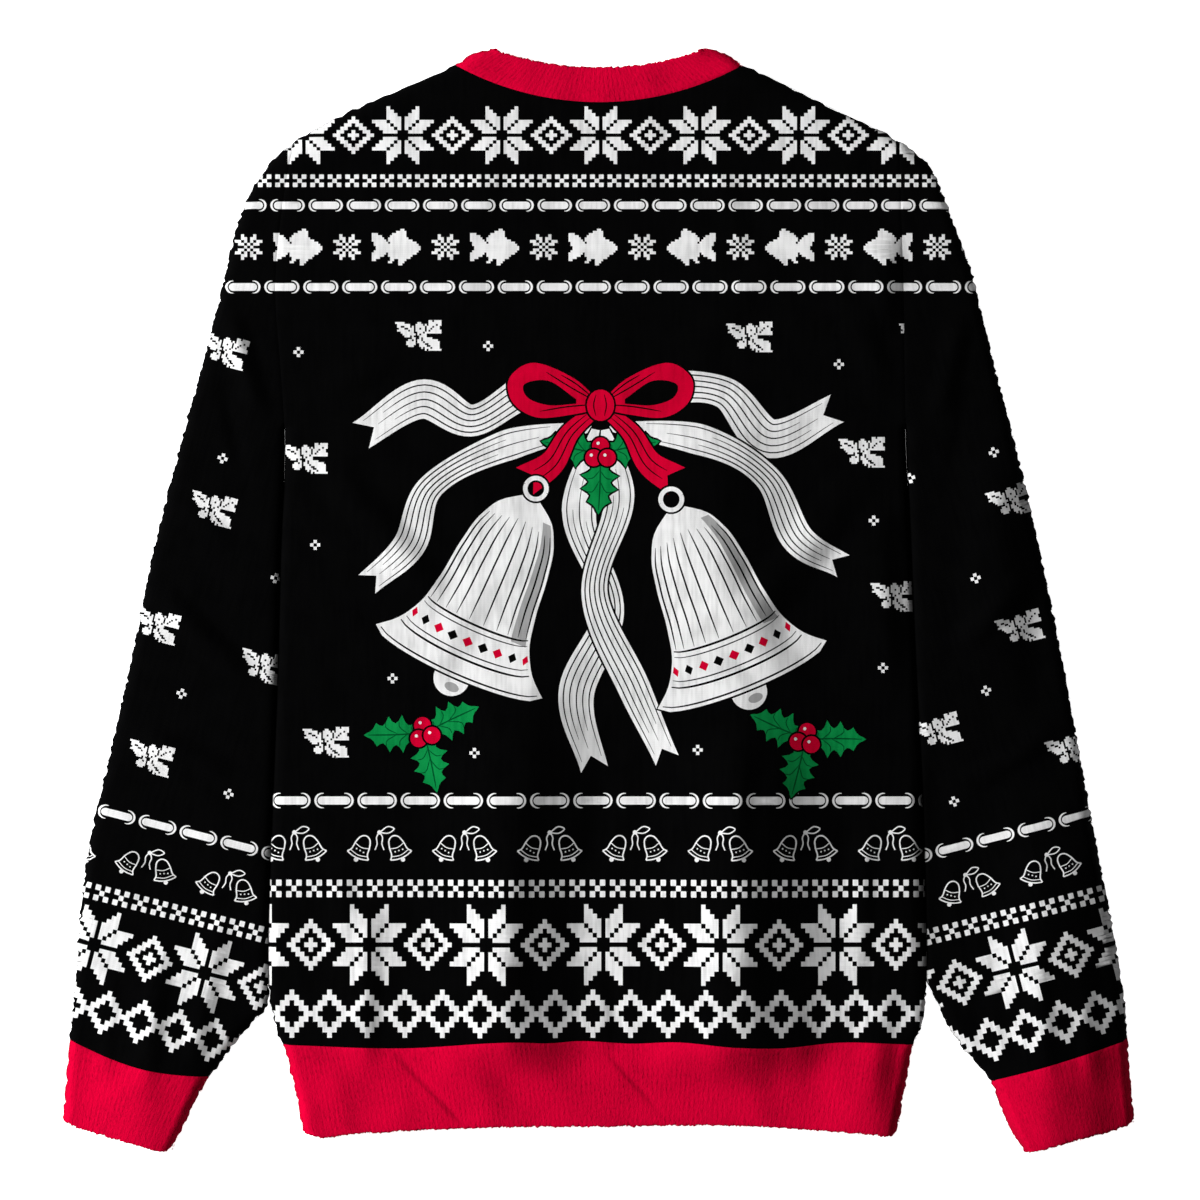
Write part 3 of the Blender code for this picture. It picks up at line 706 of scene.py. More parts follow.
def ring(x, y, radius, width):
    """A round outline, as two half rings."""
    halves = []
    for start in (0.0, math.pi):
        angle = np.linspace(start, start + math.pi, 13)
        line = np.stack([x + radius * np.cos(angle), y + radius * np.sin(angle)], axis=-1)
        halves.append(stroke(line, width))
    return halves


def cross(wide, high, corner, middle):
    """Four squares round one, all with clipped corners."""
    eighth = np.array([(1.0, CROSS_CLIP), (CROSS_CLIP, 1.0)])
    half = np.concatenate([eighth, eighth[::-1] * (-1.0, 1.0)])
    square = np.concatenate([half, -half])
    loops = []
    for u, v, share in ((-1, -1, corner), (1, -1, corner), (-1, 1, corner), (1, 1, corner), (0, 0, middle)):
        x, y = share * wide / 2, share * high / 2
        loops.append(square * (x, y) + ((wide / 2 - x) * u, (high / 2 - y) * v))
    return loops


def bend(reach, middle, radii, count):
    """An arc from -reach to reach degrees round a place on the x axis."""
    angle = np.radians(np.linspace(-reach, reach, count))
    return np.stack([middle + radii[0] * np.cos(angle), radii[1] * np.sin(angle)], axis=-1)


def link(bar_long, bar_high, arc_high, total):
    """A rounded bar between two crescents."""
    r, big = bar_high / 2, arc_high / 2
    right = bend(90, bar_long / 2 - r, (r, r), 7)
    outer = bend(104, total / 2 - big, (big, big), 13)
    hollow = (total / 2 - LINK_WIDTH - outer[-1, 0], 0.93 * big * math.sin(math.radians(76)))
    crescent = np.concatenate([outer, bend(-90, outer[-1, 0], hollow, 11)])
    return [np.concatenate([right, -right]), crescent, crescent * (-1.0, 1.0)]


def small_bells():
    """Two little outlined bells under a bow, for the row above the hem."""
    half = [(-7.6, -9.0), (-5.6, -6.2), (-4.9, -1.0), (-3.2, 3.4)]
    body = half + [(0.0, 5.0)] + [(-x, y) for x, y in half[::-1]]
    rim = [(-7.6, -9.0), (-3.8, -10.2), (0.0, -10.6), (3.8, -10.2), (7.6, -9.0)]
    lines = ((body, 0.95), (rim, 0.9), ([(-6.4, -7.2), (0.0, -8.6), (6.4, -7.2)], 0.6),
             ([(-5.0, -2.0), (0.0, -3.2), (5.0, -2.0)], 0.6))
    beads = ((0.0, -11.9, 1.5, 12), (-2.6, -5.14, 0.55, 8), (0.0, -5.4, 0.55, 8), (2.6, -5.66, 0.55, 8))
    bow = np.array([(0.6, 9.0), (5.4, 12.4), (9.6, 11.0), (6.0, 8.2), (0.6, 8.4)])
    tail = np.array([(0.8, 7.8), (2.0, 5.0), (1.6, 1.0), (3.0, -3.0)])
    loops = []
    for way in (-1, 1):
        matrix, shift = turned(24 * way), np.array([10.6 * way, 1.6])
        loops += [stroke(curve(line) @ matrix + shift, width) for line, width in lines]
        loops += [disc(*(np.array([x, y]) @ matrix + shift), radius, count) for x, y, radius, count in beads]
        loops += [stroke(curve(line * (way, 1.0)), 0.85) for line in (bow, tail)]
    loops.append(disc(0.0, 8.6, 1.5, 12))
    return loops


def doubled_area(loop):
    """Twice a loop's area, positive where it runs counter-clockwise."""
    x, y = loop[:, 0], loop[:, 1]
    return (x * np.roll(y, -1) - y * np.roll(x, -1)).sum()


def facing(loop):
    """A loop made to run counter-clockwise."""
    return loop if doubled_area(loop) > 0 else loop[::-1]


STAR, DIAMOND = star_rows(), diamond_rows()


class Design:
    """Shapes painted one over another on a sheet of cloth."""

    def __init__(self):
        self.shapes = []

    def put(self, slot, loops, x, down, turn=0.0, flip=1.0, scale=(1.0, 1.0)):
        """Loops in one slot's colour, centred at a place, turned and perhaps mirrored."""
        matrix, middle = turned(turn), plan(x, down)
        for loop in loops:
            self.shapes.append((slot, facing(loop * (flip * scale[0], scale[1])) @ matrix + middle))

    def row(self, loops, row, reach, to_plan, turn=0.0, scale=(1.0, 1.0), shift=0.0, mirror_after=None):
        """One motif again and again along a row."""
        down, first, period = row
        count = int(reach / period) + 1
        for k in range(-count, count + 1):
            at = first + (k + shift) * period
            flip = -1.0 if mirror_after is not None and at > mirror_after else 1.0
            x, place_down = to_plan(at, down)
            self.put("white_yarn", loops, x, place_down, turn, flip, scale)


def straight(along, down):
    """Rows that run straight across the body."""
    return along, down


def yoke(design):
    """The rows over the shoulders, which run on over the sleeve heads."""
    for loops, row, shift, meet in (
            (chart(STAR, STAR_YOKE_CELL), YOKE_STARS, 0.0, None),
            (chart(DIAMOND, DIAMOND_YOKE_CELL), YOKE_STARS, 0.5, None),
            (cross(*YOKE_CROSS), YOKE_CROSSES, 0.0, None),
            (link(*YOKE_LINK), YOKE_LINKS, 0.0, None),
            (chart(SNOWFLAKE, FLAKE_CELL), FISH_ROW, 0.5, None),
            (chart(FISH, FISH_CELL), FISH_ROW, 0.0, FISH_MEET),
            (link(*LOW_YOKE_LINK), LOW_YOKE_LINKS, 0.0, None)):
        design.row(loops, row, YOKE_REACH, straight, shift=shift, mirror_after=meet)


def lower_rows(design, to_plan, turn, scale, reach, first):
    """The rows above the hem band or a cuff. `first` says where each of four rows begins."""
    repeats = ((link(*HEM_LINK), HEM_LINKS), (small_bells(), BAUBLE_ROW),
               (cross(*HEM_CROSS), HEM_CROSSES), (chart(CHAIN, CHAIN_CELL), CHAIN_ROW))
    for (loops, (down, _, period)), start in zip(repeats, first):
        design.row(loops, (down, start, period), reach, to_plan, turn, scale)
    design.row(chart(STAR, STAR_HEM_CELL), HEM_STARS, reach, to_plan, turn, scale)
    design.row(chart(DIAMOND, DIAMOND_HEM_CELL), HEM_STARS, reach, to_plan, turn, scale, shift=0.5)


def body_design(painted):
    """Everything knitted into the back or the front panel, with scattered motifs clear of the picture."""
    design = Design()
    yoke(design)
    body_first = [row[1] for row in (HEM_LINKS, BAUBLE_ROW, HEM_CROSSES, CHAIN_ROW)]
    lower_rows(design, straight, 0.0, (1.0, 1.0), BODY_REACH, body_first)
    for places, rows, cell in ((BODY_SPRIGS, SPRIG, SPRIG_CELL), (BODY_DOTS, DOTS, DOT_CELL)):
        half = np.array([len(rows[0]) * cell[0], len(rows) * cell[1]]) / 2 + CLEAR_OF_PICTURE
        steps = np.linspace(-1.0, 1.0, 5)
        around = np.stack(np.meshgrid(steps, steps), axis=-1).reshape(-1, 2) * half
        for x, down in places:
            spots = around + plan(x, down) - plan(*PICTURE_AT)
            if not any(inside(spots, loop).any() for _, loop in painted):
                design.put("white_yarn", chart(rows, cell), x, down)
    for slot, loop in painted:
        design.put(slot, [loop], *PICTURE_AT)
    return design


def sleeve_design(side):
    """Everything knitted into one layer of a sleeve."""
    design = Design()
    yoke(design)
    turn = SLEEVE_TURN * sign(side)
    c, s = math.cos(math.radians(turn)), math.sin(math.radians(turn))
    anchor_x, anchor_down = SLEEVE_STAR[side]
    wide, high = SLEEVE_ROW_SCALE

    def to_plan(along, down):
        u, v = (along - HEM_STARS[1]) * wide, (down - HEM_STARS[0]) * high
        return anchor_x + u * c + v * s, anchor_down - u * s + v * c

    lower_rows(design, to_plan, turn, SLEEVE_ROW_SCALE, SLEEVE_REACH, SLEEVE_FIRST[side])
    for places, loops in ((SLEEVE_SPRIGS, chart(SPRIG, SPRIG_CELL)), (SLEEVE_DOTS, chart(DOTS, DOT_CELL))):
        for x, down in places[side]:
            design.put("white_yarn", loops, x, down, turn)
    return design


# ---- the large picture: two bells under a bow, with holly and long ribbons ----

PICTURE_AT = (1.0, 330.0)
CLEAR_OF_PICTURE = 2.0    # how far the small motifs stay from the picture
LINE = 1.15               # width of a drawn line
RIM = 1.3                 # black rim that parts one shape from the next
# a bell's half width at heights from its mouth to its crown
BELL = ((-62.0, 60.0), (-54.0, 50.5), (-40.0, 41.0), (-16.0, 34.5), (12.0, 31.0),
        (34.0, 25.5), (48.0, 16.5), (56.0, 5.0))
# ribbons: their middle lines and half widths, painted in this order
RIBBONS = (
    (((-14, 92), (-44, 105), (-84, 84), (-118, 98), (-158, 74)), 11.5),
    (((14, 92), (43, 105), (82, 102), (112, 72), (156, 92)), 11.5),
    (((-6, 80), (-66, 66), (-112, 40), (-126, 2), (-154, -24)), 9.5),
    (((6, 80), (70, 70), (110, 46), (130, 6), (160, -12)), 9.5),
    (((-3, 78), (-14, 20), (6, -40), (-16, -96), (-4, -146)), 10.5),
    (((3, 78), (12, 30), (-4, -30), (22, -92), (44, -140)), 9.5),
)
BELLS = ((-68.0, -18.0, 24.0), (70.0, -26.0, -22.0))      # x, y and tilt
HOLLY = ((0.0, 62.0, 0.0), (-116.0, -122.0, 14.0), (135.0, -126.0, -12.0))


def rimmed(loop, slot):
    """A shape in a slot's colour over its own black rim."""
    loop = facing(loop)
    return [("black_line", loop - loop_normals(loop) * RIM), (slot, loop)]


def streamer(line, wide, notch):
    """A band along a line, with a notched end, and the way across it."""
    along, left = ways(line)
    tip = [line[-1] - along[-1] * notch]
    return np.concatenate([line + left * wide, tip, (line - left * wide)[::-1]]), left


def inked(line, width, taper):
    """A drawn line."""
    return "black_line", stroke(line, width, taper)


def ribbon(path, half):
    """A white ribbon with a notched end and lines along it."""
    line = curve(path, 0.07)
    t = np.linspace(0.0, 1.0, len(line))[:, None]
    wide = half * (0.28 + 0.72 * np.clip(t / 0.22, 0.0, 1.0) ** 0.8) * (1 + 0.13 * np.sin(11 * t))
    shape, left = streamer(line, wide, half * 0.9)
    painted = rimmed(shape, "white_yarn")
    for share, first, last in ((-0.72, 0.10, 0.97), (-0.36, 0.22, 0.90), (0.02, 0.14, 0.94),
                               (0.38, 0.26, 0.88), (0.74, 0.08, 0.98)):
        part = (t[:, 0] > first) & (t[:, 0] < last)
        painted.append(inked((line + left * wide * share)[part], LINE * 0.8, 0.7))
    return painted


def both_sides(half, y):
    """A loop up the left side of a shape and down its right side."""
    return np.concatenate([np.stack([-half, y], axis=-1), np.stack([half, y], axis=-1)[::-1]])


def bell():
    """A fluted bell with a belt, a rim and a clapper, and the ring that it hangs from."""
    heights, halves = np.array(BELL).T

    def half_at(y):
        return smooth(y, heights, halves)

    y = np.linspace(heights[0], heights[-1], 34)
    mouth_x = np.linspace(1.0, -1.0, 19)[1:-1]
    mouth = np.stack([mouth_x * half_at(y)[0], y[0] - 11.0 * np.sqrt(1 - mouth_x ** 2)], axis=-1)
    painted = rimmed(disc(0.0, -74.0, 12.0, 28), "white_yarn")
    painted.append(("grey_yarn", disc(2.5, -79.5, 5.0, 16, 0.6)))
    painted += rimmed(np.concatenate([both_sides(half_at(y), y), mouth]), "white_yarn")
    y = np.linspace(-36.0, 44.0, 20)
    shade = np.concatenate([np.stack([0.66 * half_at(y), y], axis=-1),
                            np.stack([0.93 * half_at(y), y], axis=-1)[::-1]])
    painted.append(("grey_yarn", facing(shade)))
    for turn in (-68, -52, -37, -23, -8, 8, 23, 37, 52, 68):
        share, nearness = math.sin(math.radians(turn)), math.cos(math.radians(turn))
        y = np.linspace(-29.0, 46.0 - 8.0 * abs(share), 18)
        painted.append(inked(np.stack([share * half_at(y), y - 5.0 * nearness], axis=-1), LINE, 0.75))
    for level, sag, width in ((-30.0, 6.0, 1.5), (-33.5, 6.4, 0.8), (-47.0, 8.5, 0.9), (-50.5, 9.0, 1.5),
                              (-60.0, 10.4, 1.2)):
        x = np.linspace(-1.0, 1.0, 23)
        belt = np.stack([x * (half_at(level) - 1.2), level - sag * np.sqrt(1 - 0.96 * x ** 2)], axis=-1)
        painted.append(inked(belt, width, 0.5))
    for turn in (-62, -44, -28, -14, 0, 14, 28, 44, 62):
        share, nearness = math.sin(math.radians(turn)), math.cos(math.radians(turn))
        wide, x, at = 3.3 * nearness + 0.5, share * 45.0, -40.4 - 7.6 * nearness
        gem = np.array([(x - wide, at), (x, at - 3.6), (x + wide, at), (x, at + 3.6)])
        painted.append(("red_yarn" if abs(turn) in (0, 28, 62) else "black_line", gem))
    return painted, [(slot, part) for slot, width in (("black_line", 5.6), ("white_yarn", 3.0))
                     for part in ring(0.0, 62.5, 7.0, width)]


def moved(painted, turn, at):
    """Painted shapes turned and set down at a place."""
    return [(slot, loop @ turned(turn) + at) for slot, loop in painted]


def leaf(length, half, turn, at):
    """A holly leaf with curved bays between its spines, and its veins."""
    spines = ((0.16, 0.55), (0.36, 1.0), (0.58, 0.95), (0.79, 0.62))
    upper = [(0.0, 0.0)]
    for (t0, h0), (t1, h1) in zip(((0.0, 0.0),) + spines, spines + ((1.0, 0.0),)):
        for s in (0.25, 0.5, 0.75):
            bay = 1 - 0.42 * math.sin(math.pi * s)
            upper.append((length * (t0 + (t1 - t0) * s), half * (h0 + (h1 - h0) * s) * bay))
        upper.append((length * t1, half * h1))
    upper = np.array(upper)
    shape = np.concatenate([upper, (upper * (1.0, -1.0))[-2:0:-1]])
    painted = rimmed(shape, "green_yarn")
    middle = np.array([(0.02 * length, 0.0), (0.5 * length, 0.03 * half), (0.93 * length, 0.0)])
    painted.append(("green_dark", stroke(curve(middle, 0.2), 1.0, 0.6)))
    for t, h in spines[:3]:
        for way in (-1, 1):
            vein = curve(((t * 0.75 * length, 0.0), ((t + 0.04) * length, 0.34 * h * half * way),
                          ((t + 0.05) * length, 0.66 * h * half * way)), 0.34)
            painted.append(("green_dark", stroke(vein, 0.7, 0.6)))
    return moved(painted, turn, at)


def holly(x, y, turn):
    """Three leaves round three berries."""
    painted = []
    for angle in (168.0, 12.0, -92.0):
        painted += leaf(40.0, 12.5, angle + turn, (x, y))
    for angle in (90.0, 210.0, 330.0):
        bx, by = (5.2, 0.0) @ turned(angle + turn) + (x, y)
        painted += rimmed(disc(bx, by, 5.6, 20), "red_yarn")
        painted.append(("white_yarn", disc(bx - 1.6, by + 1.8, 1.1, 8)))
    return painted


def bow():
    """A red bow with two loops, two tails and a knot."""
    tail = curve(((2, 92), (20, 76), (32, 56), (50, 44)), 0.1)
    loop = curve(((0, 96), (18, 112), (44, 122), (60, 112), (58, 96), (42, 86), (18, 88), (0, 92)), 0.12)
    inner = curve(((16, 98), (34, 110), (50, 108), (48, 99), (34, 94), (16, 95)), 0.15)
    wide = 4.0 + 6.5 * np.linspace(0.0, 1.0, len(tail))[:, None]
    shape, left = streamer(tail, wide, 7.0)
    folds = [(tail + left * wide * share)[3:-4] for share in (-0.35, 0.3)]
    creases = (((4, 97), (20, 106), (36, 116)), ((4, 94.5), (22, 93), (40, 90)),
               ((5, 99), (16, 108), (26, 114)))
    lines = [curve(points, 0.2) for points in creases]
    painted = []
    for way in (-1, 1):
        mirror = np.array((way, 1.0))
        painted += rimmed(shape * mirror, "red_yarn")
        painted += [("black_line", facing(stroke(line, 0.9, 0.7) * mirror)) for line in folds]
        painted += rimmed(loop * mirror, "red_yarn")
        painted.append(("black_line", facing(inner * mirror)))
        painted += [("black_line", facing(stroke(line, 0.9, 0.7) * mirror)) for line in lines]
    painted += rimmed(disc(0.0, 94.0, 9.0, 22, 1.15), "red_yarn")
    for x in (-3.0, 2.6):
        painted.append(inked(curve(((x, 87), (x * 1.5, 94), (x, 101)), 0.25), 0.8, 0.6))
    return painted


def picture():
    """The large picture on the back, painted from what lies behind to what lies in front."""
    painted, rings = [], []
    for path, half in RIBBONS:
        painted += ribbon(path, half)
    for x, y, tilt in BELLS:
        whole, hung = bell()
        painted += moved(whole, -tilt, (x, y))
        rings += moved(hung, -tilt, (x, y))
    for x, y, turn in HOLLY:
        painted += holly(x, y, turn)
    return painted + bow() + rings


# ---- meshes ----

SLOTS = ("ground", "white_yarn", "black_line", "red_yarn", "green_yarn", "green_dark", "grey_yarn")
SAME_PLACE = 1e-4         # as near as this, two places count as one
FLATTEST = 0.12           # a triangle lower than this has its long side turned,
THINNEST = 0.03           # or lower than this, where its neighbour is of another colour


def inside(points, loop):
    """Which points lie within a loop."""
    x, y = points[:, 0], points[:, 1]
    odd = np.zeros(len(points), bool)
    for (ax, ay), (bx, by) in zip(loop, np.roll(loop, -1, axis=0)):
        if ay != by:
            crosses = ((ay > y) != (by > y)) & (x < (bx - ax) * (y - ay) / (by - ay) + ax)
            odd ^= crosses
    return odd


def loop_normals(loop):
    """The way in at each point of a loop that runs counter-clockwise."""
    along = np.roll(loop, -1, axis=0) - np.roll(loop, 1, axis=0)
    along /= np.linalg.norm(along, axis=1, keepdims=True)
    return along[:, ::-1] * (-1.0, 1.0)


def distances(tree, points):
    """Distance from each point to the nearest place in a tree."""
    return np.array([tree.find((p[0], p[1], 0.0))[2] for p in points])


class Sheet:
    """One layer of cloth: an outline in plan, of which some pieces are seams."""

    def __init__(self, loop, seam, kind, way, wall, parted=0.0):
        if doubled_area(loop) < 0:
            loop, seam = loop[::-1], np.roll(seam[::-1], -1)
        self.loop, self.seam = loop, seam
        self.kind, self.way, self.wall, self.parted = kind, way, wall, parted

    def seam_tree(self):
        """The places of this sheet's seams, for finding how near a point is."""
        starts, ends = self.loop[self.seam], np.roll(self.loop, -1, axis=0)[self.seam]
        tree = kdtree.KDTree(4 * len(starts))
        for t in (0.0, 0.25, 0.5, 0.75):
            for p in starts + (ends - starts) * t:
                tree.insert((p[0], p[1], 0.0), 0)
        tree.balance()
        return tree

    def lie(self, points):
        """Outer and inner places of the cloth at points of this sheet."""
        dip = SEAM_ROLL * np.clip(1 - distances(self.seam_tree(), points) / SEAM_WIDTH, 0.0, 1.0) ** 2
        return lie(points, self.kind, self.heart(points), self.wall, self.way, dip=dip, parted=self.parted)

    def heart(self, points):
        """For each point, a place well within the sheet at about its own height."""
        if self.kind == "body":
            return np.zeros_like(points)
        low, high = self.loop[:, 1].min(), self.loop[:, 1].max()
        levels = np.linspace(low, high, HEART_LEVELS)
        close = np.abs(self.loop[:, 1] - levels[:, None]) < HEART_REACH
        left = np.where(close, self.loop[:, 0], np.inf).min(axis=1)
        right = np.where(close, self.loop[:, 0], -np.inf).max(axis=1)
        x = np.interp(points[:, 1], levels, (left + right) / 2)
        y = np.clip(points[:, 1], low + HEART_ENDS[0], high - HEART_ENDS[1])
        return np.stack([x, y], axis=-1)

    def fill(self, step):
        """Points within the outline: a net, with closer rows at folds and seams."""
        low, high = self.loop.min(axis=0), self.loop.max(axis=0)
        xs = np.arange(low[0] + step / 2, high[0], step)
        ys = np.arange(low[1] + step / 2, high[1], step)
        net = np.stack(np.meshgrid(xs, ys), axis=-1)
        net[1::2, :, 0] += step / 2
        net = net.reshape(-1, 2)
        net = net[inside(net, self.loop)]
        tree = self.seam_tree()
        distance = EDGES[self.kind].measure(net, np.zeros_like(net))[0]
        clear = (distance > EDGE_ROUND + step / 3) & (distances(tree, net) > SEAM_RINGS[-1] + step / 3)
        rows = [net[clear]]
        normals = loop_normals(self.loop)
        fold = ~self.seam | ~np.roll(self.seam, 1)
        for angle in CURL_ANGLES:
            depth = EDGE_ROUND * (1 - math.cos(math.radians(angle)))
            row = self.loop + normals * depth
            from_fold = EDGES[self.kind].measure(row, np.zeros_like(net[:1]))[0]
            good = (np.abs(from_fold - depth) < 0.15 * depth + 0.1) & inside(row, self.loop)
            rows.append(row[good & (fold | (distances(tree, row) > 0.8 * depth))])
        for depth in SEAM_RINGS:
            row = self.loop + normals * depth
            rows.append(row[(np.abs(distances(tree, row) - depth) < 0.4) & inside(row, self.loop)])
        return np.concatenate(rows)


def evened(places, triangles, colours):
    """The triangles with the long side of each very flat one turned, so that none mars the shading."""
    corners = places[triangles]
    sides = np.roll(corners, -1, axis=1) - corners
    doubled = sides[:, 0, 0] * sides[:, 1, 1] - sides[:, 0, 1] * sides[:, 1, 0]
    flat = np.flatnonzero(doubled < FLATTEST * np.linalg.norm(sides, axis=2).max(axis=1))
    made, slots, owner = triangles.tolist(), colours.tolist(), {}
    for i, (a, b, c) in enumerate(made):
        owner[a, b] = owner[b, c] = owner[c, a] = i

    def height(a, b, c):
        """The least height of a triangle, negative where it runs clockwise."""
        (ax, ay), (bx, by), (cx, cy) = places[a], places[b], places[c]
        sides = ((bx - ax, by - ay), (cx - bx, cy - by), (ax - cx, ay - cy))
        longest = max(math.hypot(x, y) for x, y in sides)
        return ((bx - ax) * (cy - ay) - (by - ay) * (cx - ax)) / longest

    for i in flat.tolist():
        a, b, c = made[i]
        turns = ((a, b, c), (b, c, a), (c, a, b))
        a, b, c = max(turns, key=lambda t: math.dist(places[t[0]], places[t[1]]))
        j = owner.get((b, a))
        if j is None or (slots[i] != slots[j] and height(a, b, c) > THINNEST):
            continue
        d = next(v for v in made[j] if v not in (a, b))
        if min(height(a, d, c), height(d, b, c)) <= height(a, b, c):
            continue
        made[i], made[j], slots[i] = (a, d, c), (d, b, c), slots[j]
        owner[a, d] = owner[d, c] = owner[c, a] = i
        owner[d, b] = owner[b, c] = owner[c, d] = j
        del owner[a, b], owner[b, a]
    return np.array(made), np.array(slots)


def triangulate(loop, shapes, points):
    """Triangles over a loop, cut along the shapes, and each triangle's colour.

    Returns the points, the triangles, their slots and where the loop's own points went.
    """
    low, high = loop.min(axis=0), loop.max(axis=0)
    verts, faces, slots = list(loop), [list(range(len(loop)))], [0]
    near = [(slot, shape) for slot, shape in shapes
            if (shape.max(axis=0) > low).all() and (shape.min(axis=0) < high).all()]
    sizes = np.cumsum([0] + [len(shape) for _, shape in near])
    within = inside(np.concatenate([shape for _, shape in near]), loop) if near else None
    for (slot, shape), first, last in zip(near, sizes[:-1], sizes[1:]):
        if not within[first:last].any():
            continue
        faces.append(list(range(len(verts), len(verts) + len(shape))))
        verts += list(shape)
        slots.append(SLOTS.index(slot))
    verts += list(points)
    made = delaunay_2d_cdt([Vector(v) for v in verts], [], faces, 0, SAME_PLACE)
    places = np.array([tuple(v) for v in made[0]])
    keep = [i for i, of in enumerate(made[5]) if 0 in of]
    triangles = np.array([made[2][i] for i in keep])
    colours = np.array([slots[max(made[5][i])] for i in keep])
    went = {}
    for i, of in enumerate(made[3]):
        for j in of:
            if j < len(loop):
                went[j] = i
    triangles, colours = evened(places, triangles, colours)
    return places, triangles, colours, np.array([went[j] for j in range(len(loop))])


def boundary(triangles):
    """The directed edges that only one triangle has."""
    edges = np.concatenate([triangles[:, [0, 1]], triangles[:, [1, 2]], triangles[:, [2, 0]]])
    keys = {(a, b) for a, b in edges.tolist()}
    return np.array([e for e in edges.tolist() if (e[1], e[0]) not in keys])


def refined(sheet, shapes):
    """The sheet's outline with a point wherever a shape crosses it."""
    places, triangles, _, went = triangulate(sheet.loop, shapes, np.zeros((0, 2)))
    follow = {a: b for a, b in boundary(triangles).tolist()}
    number = {v: i for i, v in enumerate(went.tolist())}
    order, seam, at, here = [], [], int(went[0]), 0
    for _ in range(len(follow)):
        here = number.get(at, here)
        order.append(places[at])
        seam.append(sheet.seam[here])
        at = follow[at]
    return np.array(order), np.array(seam)


def vertex_normals(places, triangles):
    """Outward normals at the points of a triangle mesh."""
    a, b, c = (places[triangles[:, k]] for k in (0, 1, 2))
    face = np.cross(b - a, c - a)
    total = np.zeros_like(places)
    for k in (0, 1, 2):
        np.add.at(total, triangles[:, k], face)
    return total / np.maximum(np.linalg.norm(total, axis=1, keepdims=True), 1e-12)


def make_piece(name, places, faces, finish, stitches, merge=0.0):
    """A mesh piece that rides on the garment. `stitches` gives each point's place in the knit and its
    painted shade.
    """
    mesh = bpy.data.meshes.new(name)
    mesh.from_pydata((places * MM).tolist(), [], [list(f) for f in faces])
    knit = mesh.attributes.new("knit", "FLOAT_VECTOR", "POINT")
    knit.data.foreach_set("vector", stitches.astype(np.float32).ravel())
    mesh.materials.append(finish)
    form = bmesh.new()
    form.from_mesh(mesh)
    if merge:
        bmesh.ops.remove_doubles(form, verts=form.verts, dist=merge * MM)
        bmesh.ops.dissolve_degenerate(form, edges=form.edges, dist=1e-7)
    bmesh.ops.recalc_face_normals(form, faces=form.faces)
    if form.calc_volume(signed=True) < 0:
        bmesh.ops.reverse_faces(form, faces=form.faces)
    form.to_mesh(mesh)
    form.free()
    mesh.shade_smooth()
    mesh.set_sharp_from_angle(angle=math.radians(SHARP_ANGLE))
    piece = bpy.data.objects.new(name, mesh)
    bpy.context.scene.collection.objects.link(piece)
    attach(piece, "root")
    return piece


def stitch_places(points, turn, way):
    """Wales across and courses up at points, with the turn undone, and the painted shade at each."""
    # painted shade on fold slopes away from the light and in hollows, on the upper layer only
    shade = lee(points) if way > 0 else np.zeros(len(points))
    return np.concatenate([points @ turned(-turn) / (WALE, COURSE), shade[:, None]], axis=1)


def cloth(name, sheets, designs, turn, node):
    """A piece of knitted cloth of one or two sheets, and its pattern in each colour."""
    outlines = [refined(sheet, design.shapes) for sheet, design in zip(sheets, designs)]
    if len(sheets) == 2:
        outlines = join_outlines(outlines)
    places, faces, stitches, pattern, start = [], [], [], [], 0
    for sheet, design, (loop, seam) in zip(sheets, designs, outlines):
        sheet.loop, sheet.seam = loop, seam
        grid = UPPER_GRID if sheet.way > 0 else LOWER_GRID
        flat, triangles, colours, went = triangulate(loop, design.shapes, sheet.fill(grid))
        flat_in, triangles_in, _, went_in = triangulate(loop, [], sheet.fill(INNER_GRID))
        outer, inner = sheet.lie(flat)[0], sheet.lie(flat_in)[1]
        triangles, triangles_in = triangles[:, ::sheet.way], triangles_in[:, ::-sheet.way]
        pattern.append((outer, triangles, colours, flat, sheet.way))
        places += [outer, inner]
        stitches += [stitch_places(points, turn, sheet.way) for points in (flat, flat_in)]
        start_in = start + len(outer)
        a = np.flatnonzero(seam)
        b = (a + 1) % len(loop)
        corners = start + went[a], start + went[b], start_in + went_in[b], start_in + went_in[a]
        sides = np.stack(corners, axis=-1)
        faces += (triangles + start).tolist() + (triangles_in + start_in).tolist() + sides.tolist()
        start = start_in + len(inner)
    piece = make_piece(name, np.concatenate(places), faces, MATERIALS["ground"], np.concatenate(stitches),
                       merge=MERGE_CLOTH if len(sheets) == 2 else 0.0)
    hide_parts(node)
    added = []
    for slot in range(1, len(SLOTS)):
        yarn = []
        for outer, triangles, colours, flat, way in pattern:
            chosen = triangles[colours == slot]
            if len(chosen):
                yarn.append(raised(outer, triangles, chosen, flat) + (way,))
        if yarn:
            added.append(yarn_piece(f"{name}_{SLOTS[slot]}", yarn, slot, turn))
    return piece, added


def raised(outer, triangles, chosen, flat):
    """Yarn over some triangles of a sheet: the points, the faces and the places in plan."""
    normals = vertex_normals(outer, triangles)
    used, index = np.unique(chosen, return_inverse=True)
    index = index.reshape(chosen.shape)
    top = outer[used] + normals[used] * PILE
    root = outer[used] - normals[used] * PILE_ROOT
    count = len(used)
    faces = index.tolist() + (index[:, ::-1] + count).tolist()
    faces += [(b, a, a + count, b + count) for a, b in boundary(index).tolist()]
    return np.concatenate([top, root]), faces, np.concatenate([flat[used], flat[used]])


